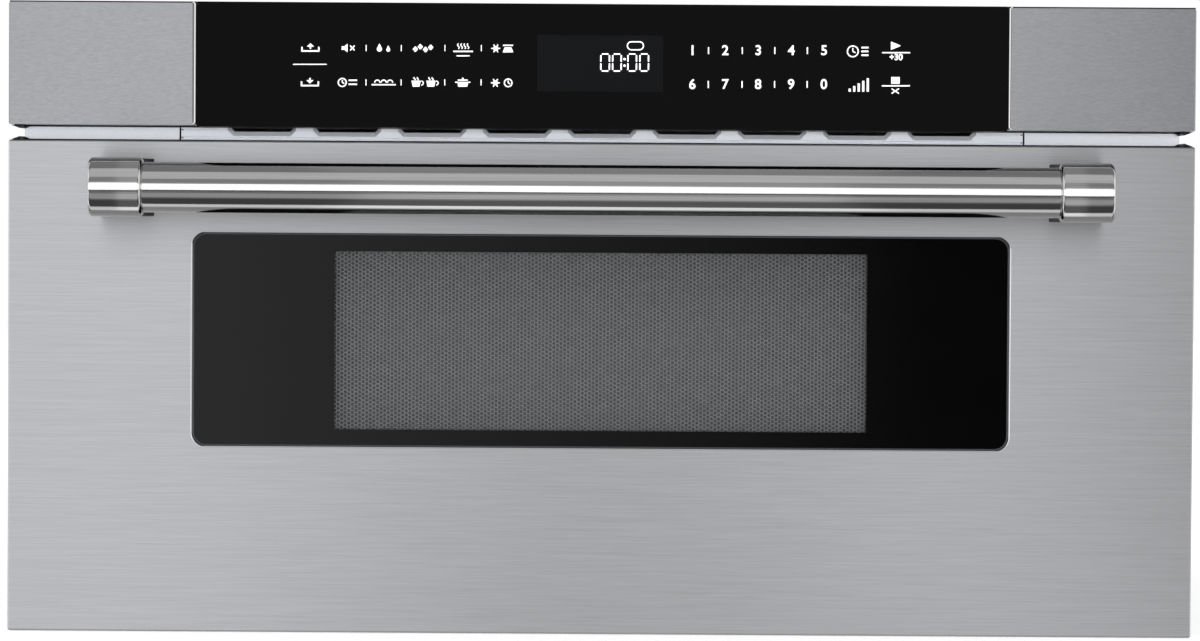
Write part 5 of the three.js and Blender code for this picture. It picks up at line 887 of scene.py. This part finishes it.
def drawer_sign(ink, x, y, out):
    """A tray with an arrow that leaves it or enters it."""
    ink.stroke((x - 9, y + 3.6), (x + 9, y + 3.6), 1.5)
    for wall in (x - 8.4, x + 8.4):
        ink.stroke((wall, y + 3.6), (wall, y - 0.6), 1.5)
    tip, tail = (y - 4.2, y + 1.4) if out else (y + 1.6, y - 4.0)
    back = tip + (3.4 if out else -3.4)
    ink.shape([(x - 3.6, back), (x, tip), (x + 3.6, back)])
    ink.stroke((x, back), (x, tail), 1.6)


def snowflake(ink, x, y, size):
    for angle in map(math.radians, (0, 60, 120)):
        dx, dy = size * math.cos(angle), size * math.sin(angle)
        ink.stroke((x - dx, y - dy), (x + dx, y + dy), 1.1)
    ink.ring((x, y), size * 0.5, 0.8, steps=12)


def clock(ink, x, y, size):
    ink.ring((x, y), size, 1.2)
    ink.stroke((x, y), (x, y - size * 0.62), 1.1)
    ink.stroke((x, y), (x + size * 0.5, y + size * 0.25), 1.1)


def drop(ink, x, y, size):
    ink.disc((x, y + size * 0.35), size * 0.62)
    ink.shape([(x - size * 0.56, y + size * 0.1), (x, y - size), (x + size * 0.56, y + size * 0.1)])


def waves(ink, x, y, count, height, pitch=3.2):
    for i in range(count):
        left = x + (i - (count - 1) / 2) * pitch
        points = [(left + 0.9 * math.sin(math.pi * 2 * t / 6), y + height / 2 - height * t / 6)
                  for t in range(7)]
        for a, b in zip(points, points[1:]):
            ink.stroke(a, b, 1.0)


def cup(ink, x, y):
    ink.shape([(x - 4.6, y - 2), (x + 4.6, y - 2), (x + 3.4, y + 4), (x - 3.4, y + 4)])
    ink.ring((x + 5.2, y + 0.4), 2.0, 1.0, -90, 90, 10)
    waves(ink, x, y - 4.0, 2, 2.6)


def pot(ink, x, y):
    ink.shape([(x - 5.4, y - 1), (x + 5.4, y - 1), (x + 4.6, y + 4), (x - 4.6, y + 4)])
    ink.stroke((x - 7.6, y - 0.4), (x + 7.6, y - 0.4), 1.1)
    ink.stroke((x - 5, y - 2.6), (x + 5, y - 2.6), 1.1)
    ink.disc((x, y - 4.0), 1.0)


def speaker_off(ink, x, y):
    ink.shape([(x - 6.4, y - 1.7), (x - 3.8, y - 1.7), (x - 0.6, y - 4.2), (x - 0.6, y + 4.2),
               (x - 3.8, y + 1.7), (x - 6.4, y + 1.7)])
    for tilt in (2.4, -2.4):
        ink.stroke((x + 2, y - tilt), (x + 6.4, y + tilt), 1.2)


def kernels(ink, x, y):
    for dx, dy in ((-8, 0.8), (-3, -1.6), (2.2, 1.2), (7.4, -1.0)):
        for kx, ky in ((-1.3, 0), (1.3, 0), (0, -1.5), (0, 1.4)):
            ink.disc((x + dx + kx, y + dy + ky), 1.25, 10)


def power_steps(ink, x, y):
    for i in range(5):
        height = 3 + 2.6 * i
        ink.stroke((x - 9 + i * 4.5, y + 6.6), (x - 9 + i * 4.5, y + 6.6 - height), 2.2)


def panel_signs():
    """Plain signs in the keys' places, with the short bars between them."""
    ink = Print()
    drawer_sign(ink, 310.6, 47.6, True)
    ink.stroke((293.4, 64.5), (327, 64.5), 0.95)
    drawer_sign(ink, 310.3, 82.1, False)
    speaker_off(ink, 348.3, 48.2)
    drop(ink, 379.6, 47.8, 4.2)
    drop(ink, 388.4, 48.8, 3.2)
    kernels(ink, 423.4, 48.6)
    waves(ink, 463.2, 46.4, 4, 5.4)
    ink.stroke((453.4, 51.6), (473, 51.6), 1.4)
    ink.stroke((456.6, 56.0), (469.8, 56.0), 1.1)
    snowflake(ink, 495.8, 48.6, 4.4)
    ink.stroke((503, 45.6), (513, 45.6), 1.3)
    ink.shape([(504.6, 47.6), (511.4, 47.6), (513.4, 52.6), (502.6, 52.6)])
    clock(ink, 342.6, 82.6, 4.0)
    for row in (80.4, 84.4):
        ink.stroke((349, row), (357.4, row), 1.4)
    for i in range(3):
        ink.ring((377.6 + 6.4 * i, 82.8), 2.6, 1.1, 0, 180, 10)
    ink.stroke((372, 84.8), (396, 84.8), 1.3)
    for column in (416.4, 431.2):
        cup(ink, column, 82.8)
    pot(ink, 463.0, 82.8)
    snowflake(ink, 495.6, 83.0, 4.4)
    clock(ink, 508.4, 83.0, 3.8)
    for column in (366.3, 401.4, 445, 481.3):
        ink.stroke((column, 45.2), (column, 51.4), 0.85)
        ink.stroke((column, 79.4), (column, 85.6), 0.85)
    for column in (708.3, 742, 774.5, 807):
        ink.stroke((column, 47.4), (column, 54.2), 1.1)
        ink.stroke((column, 81.2), (column, 88.0), 1.1)
    clock(ink, 852.4, 51.6, 5.4)
    for row in (47.8, 51.6, 55.4):
        ink.stroke((861, row), (868, row), 1.6)
    power_steps(ink, 858.6, 85.2)
    ink.shape([(890.4, 41.8), (890.4, 50.2), (900.4, 46.0)])
    ink.stroke((881.6, 52.9), (909.6, 52.9), 1.2)
    ink.shape([(891, 77.2), (899.4, 77.2), (899.4, 84), (891, 84)])
    ink.stroke((881.6, 86.0), (909.6, 86.0), 1.2)
    for near, far in ((88.8, 93.6), (93.6, 88.8)):
        ink.stroke((891.4, near), (898.8, far), 1.2)
    ink.finish("panel_signs", PRINT, "black_glass")


def numeral(name, text, column, row, height):
    """A printed numeral, its middle at a pixel of the photograph and its height in pixels."""
    curve = bpy.data.curves.new("numeral_curve", "FONT")
    curve.body = text
    curve.align_x = "CENTER"
    curve.align_y = "CENTER"
    curve.size = height * PIXEL / 0.73
    curve.offset = 0.00016
    curve.extrude = 0.00001
    made = linked("numeral_curve", curve)
    x, z = at_pixel(column, row)
    made.location = (x, INK_Y, z)
    made.rotation_euler = (math.pi / 2, 0, 0)
    bpy.context.view_layer.update()
    evaluated = made.evaluated_get(bpy.context.evaluated_depsgraph_get())
    mesh = bpy.data.meshes.new_from_object(evaluated)
    mesh.transform(made.matrix_world)
    bpy.data.objects.remove(made)
    mesh.materials.clear()
    mesh.materials.append(PRINT)
    return keep(linked(name, mesh), "chassis", "black_glass")


def numerals():
    """The ten figures of the keypad, and the half minute under the start sign."""
    columns = (692.3, 725, 758, 791, 823.7)
    for i, column in enumerate(columns):
        below = (i + 6) % 10
        numeral(f"numeral_{i + 1}", str(i + 1), column, 51, 10)
        numeral(f"numeral_{below}", str(below), column, 84.8, 10)
    numeral("half_minute", "+30", 895.6, 57.6, 6.2)


def display():
    """Tinted window with four lit figures, each a nought of six segments, and a pill outlined over them."""
    tint = Print()
    tint.shape([(537.5, 35.1), (663, 35.9), (663, 92.1), (537.5, 91.3)])
    window = tint.finish("display_window", TINT, "black_glass")
    window.location.y += 0.03 * MM
    lit = Print()
    top, bottom, middle, width = 54.2, 71.2, 62.7, 1.15
    for left in (600.2, 612.0, 627.2, 639.2):
        right = left + 9.8
        for row in (top, bottom):
            lit.stroke((left + 1.7, row), (right - 1.7, row), width)
        for x in (left + 0.6, right - 0.6):
            lit.stroke((x, top + 1.2), (x, middle - 0.9), width)
            lit.stroke((x, middle + 0.9), (x, bottom - 1.2), width)
    for row in (59.3, 65.8):
        lit.disc((624.5, row), 1.1, 12)
    lit.ring((631.2, 46.0), 4.0, 0.9, 90, 270, 12)
    lit.ring((639.3, 46.0), 4.0, 0.9, -90, 90, 12)
    for row in (42.0, 50.0):
        lit.stroke((631.2, row), (639.3, row), 0.9)
    lit.finish("display_figures", LIT, "black_glass")


panel_signs()
numerals()
display()

# ---- Studio ------------------------------------------

FLOOR_Z = cad_box[0][2] - 0.4 * MM


def studio_card(name, outline, glow, lit=None):
    """A long card or light box that only reflections see. outline is in the YZ plane, glow builds its nodes.
    A card for the pieces of one collection shines on no other, and lets through what is behind it."""
    half = 5.0
    vertices = [(x, y, z) for y, z in outline for x in (-half, half)]
    faces = [[2 * i, 2 * i + 1, 2 * i + 3, 2 * i + 2] for i in range(len(outline) - 1)]
    made = bpy.data.materials.new(name)
    tree = emptied(made)
    light = add(tree, "ShaderNodeEmission")
    surface = light, "Emission"
    if lit:
        clear = add(tree, "ShaderNodeBsdfTransparent")
        surface = add(tree, "ShaderNodeAddShader", links={0: surface, 1: (clear, "BSDF")}), "Shader"
    add(tree, "ShaderNodeOutputMaterial", links={"Surface": surface})
    glow(tree, light)
    card = piece(name, vertices, faces, made)
    for ray in ("camera", "diffuse", "transmission", "shadow"):
        setattr(card, f"visible_{ray}", False)
    if lit:
        card.light_linking.receiver_collection = lit


def gathered(name, pieces):
    """A collection of pieces for their own cards to shine on."""
    made = bpy.data.collections.new(name)
    for each in pieces:
        made.objects.link(each)
    return made


def even(value):
    """A card of one brightness."""
    def glow(tree, light):
        dress(tree, light, {"Color": (value, value, value, 1), "Strength": 1.0})
    return glow


def graded(stops):
    """A card whose brightness changes from left to right: stops are (x in metres, brightness up to 4)."""
    span, peak = 4.0, 4.0

    def glow(tree, light):
        where = add(tree, "ShaderNodeTexCoord")
        axes = add(tree, "ShaderNodeSeparateXYZ", links={"Vector": (where, "Object")})
        along = add(tree, "ShaderNodeMapRange",
                    links={"Value": (axes, "X"), "From Min": -span, "From Max": span})
        ramp = ramped(tree, (along, "Result"), [
            ((x + span) / (2 * span), (value * 0.99 / peak, value / peak, value * 1.03 / peak, 1))
            for x, value in stops])
        dress(tree, light, {"Color": ramp, "Strength": peak})
    return glow


def arc(start_angle, end_angle, radius=3.4, steps=10):
    """Places on an arc round the handle: 0 degrees is straight out of the front and 90 is straight up."""
    points = []
    for i in range(steps + 1):
        angle = math.radians(start_angle + (end_angle - start_angle) * i / steps)
        points.append((BAR_Y - radius * math.cos(angle), BAR_Z + radius * math.sin(angle)))
    return points


def floor():
    """White paper that shows the object's shadow. Seen by the lens it is lifted to the backdrop's white."""
    half = 6.0
    corners = [(-half, -half, FLOOR_Z), (half, -half, FLOOR_Z), (half, half, FLOOR_Z), (-half, half, FLOOR_Z)]
    paper, tree, shader = start("floor_paper")
    fibre = noise(tree, 2.5 * MM)
    tone = shades(tree, (fibre, "Fac"), [(0.3, "f7f7f7"), (0.7, "fafafa")])
    path = add(tree, "ShaderNodeLightPath")
    lift = add(tree, "ShaderNodeMath", {"operation": "MULTIPLY"}, {0: (path, "Is Camera Ray"), 1: 0.4})
    dress(tree, shader, {"Base Color": tone, "Emission Color": tone, "Emission Strength": lift,
                         "Roughness": 0.9})
    made = piece("floor", corners, [[0, 1, 2, 3]], paper)
    made.visible_glossy = False


def cards():
    """What bright surfaces mirror: a dark room, a shaded lens side, and light boxes for steel and handle."""
    steel = gathered("steel_pieces", [frame["nodes"]["drawer_front"], *(bpy.data.objects[name] for name in (
        "steel_end_right", "steel_end_left", "window_corners"))])
    bright = gathered("handle_pieces", [bpy.data.objects[name] for name in (
        "handle_tube", "handle_cap_right", "handle_cap_left",
        "rolled_edge_right", "rolled_edge_left", "window_lip")])
    studio_card("room_front", arc(-128, 118, 4.4, 30), even(0.04))
    studio_card("lens_side_low", arc(-7, 0.4),
                graded([(-0.84, 0.62), (-0.53, 0.52), (0.0, 0.23), (0.45, 0.02), (0.84, 0.0)]))
    studio_card("lens_side_high", arc(0.4, 5), even(0.115))
    studio_card("steel_box_high", arc(-2, 34, 3.0, 8),
                graded([(-0.84, 0.86), (-0.62, 1.1), (-0.45, 1.5), (-0.16, 0.76),
                        (0.16, 0.78), (0.45, 2.0), (0.62, 0.95), (0.84, 0.12)]), steel)
    studio_card("steel_box_low", arc(-34, -2, 3.0, 8),
                graded([(-0.84, 0.86), (-0.6, 1.0), (-0.2, 0.42),
                        (0.2, 0.4), (0.55, 1.08), (0.84, 0.54)]), steel)
    studio_card("steel_floor", arc(-84, -34, 3.0, 8), even(0.5), steel)
    for name, first, last, value, share in (
        ("handle_box", -11.3, 16.8, 1.6, 1.0), ("handle_line", -17, -11.3, 0.03, 1.0),
        ("handle_table_far", -26, -17, 0.32, 0.5), ("handle_table", -47, -26, 0.49, 0.66),
        ("handle_table_edge", -53, -47, 0.22, 0.5), ("handle_dusk", -84, -53, 0.09, 0.25),
        ("handle_glint", -106, -84, 1.0, 0.7), ("handle_gap", 16.8, 23, 0.4, 0.7),
        ("handle_low_card", 23, 40, 0.36, 0.66), ("handle_high_box", 40, 77, 0.56, 0.95),
        ("handle_ceiling", 77, 126, 0.25, 0.72),
    ):
        stops = [(-0.57, value * share), (-0.53, value), (0.53, value), (0.57, value * share)]
        studio_card(name, arc(first, last, 2.6), graded(stops), bright)


def studio():
    """White floor and backdrop, even light all round, and soft boxes at both sides and in front."""
    floor()
    cards()
    world = bpy.data.worlds.new("studio")
    bpy.context.scene.world = world
    tree = emptied(world)
    path = add(tree, "ShaderNodeLightPath")
    seen = add(tree, "ShaderNodeMath", {"operation": "MAXIMUM"},
               {0: (path, "Is Camera Ray"), 1: (path, "Is Transmission Ray")})
    room = add(tree, "ShaderNodeBackground", links={"Color": (1, 1, 1, 1), "Strength": 0.8})
    backdrop = add(tree, "ShaderNodeBackground", links={"Color": (1, 1, 1, 1), "Strength": 1.0})
    mixed = add(tree, "ShaderNodeMixShader",
                links={0: (seen, "Value"), 1: (room, "Background"), 2: (backdrop, "Background")})
    add(tree, "ShaderNodeOutputWorld", links={"Surface": (mixed, "Shader")})

    for name, spot, size, power in (
        ("key_light", (-1.8, -2.6, 2.2), (1.6, 1.6), 20),
        ("fill_light", (2.2, -2.2, 1.6), (1.6, 1.6), 9),
        ("front_light", (0, -3.0, 0.35), (2.0, 0.5), 52),
    ):
        lamp = bpy.data.lights.new(name, "AREA")
        lamp.shape = "RECTANGLE"
        lamp.size, lamp.size_y = size
        lamp.energy = power
        holder = linked(name, lamp)
        holder.location = spot
        aim = Vector((0, -0.2, 0.25)) - Vector(spot)
        holder.rotation_euler = aim.to_track_quat("-Z", "Y").to_euler()
        holder.visible_glossy = False


def camera():
    """Long lens in front of the drawer, a little above its middle and turned a third of a degree."""
    lens = bpy.data.cameras.new("camera")
    lens.lens = 131.74
    lens.sensor_width = 36.0
    lens.clip_end = 50
    holder = linked("camera", lens)
    yaw, pitch, roll = math.radians(0.091), math.radians(1.490), math.radians(0.373)
    ahead = Vector((-math.sin(yaw) * math.cos(pitch), math.cos(yaw) * math.cos(pitch), -math.sin(pitch)))
    right = Vector((math.cos(yaw), math.sin(yaw), 0))
    up = right.cross(ahead)
    turned_right = math.cos(roll) * right + math.sin(roll) * up
    turned_up = math.cos(roll) * up - math.sin(roll) * right
    turn = Matrix((turned_right, turned_up, -ahead)).transposed().to_4x4()
    holder.matrix_world = Matrix.Translation((0.00405, -3.12737, 0.26425)) @ turn
    bpy.context.scene.camera = holder


studio()
# The handle mirrors the glass at a slant, where neither its print nor the screen behind it shows.
for made in bpy.data.objects:
    if made.type == "MESH" and {PRINT, LIT, SCREEN} & set(made.data.materials):
        made.visible_glossy = False
camera()
bpy.context.scene.view_settings.view_transform = "Standard"
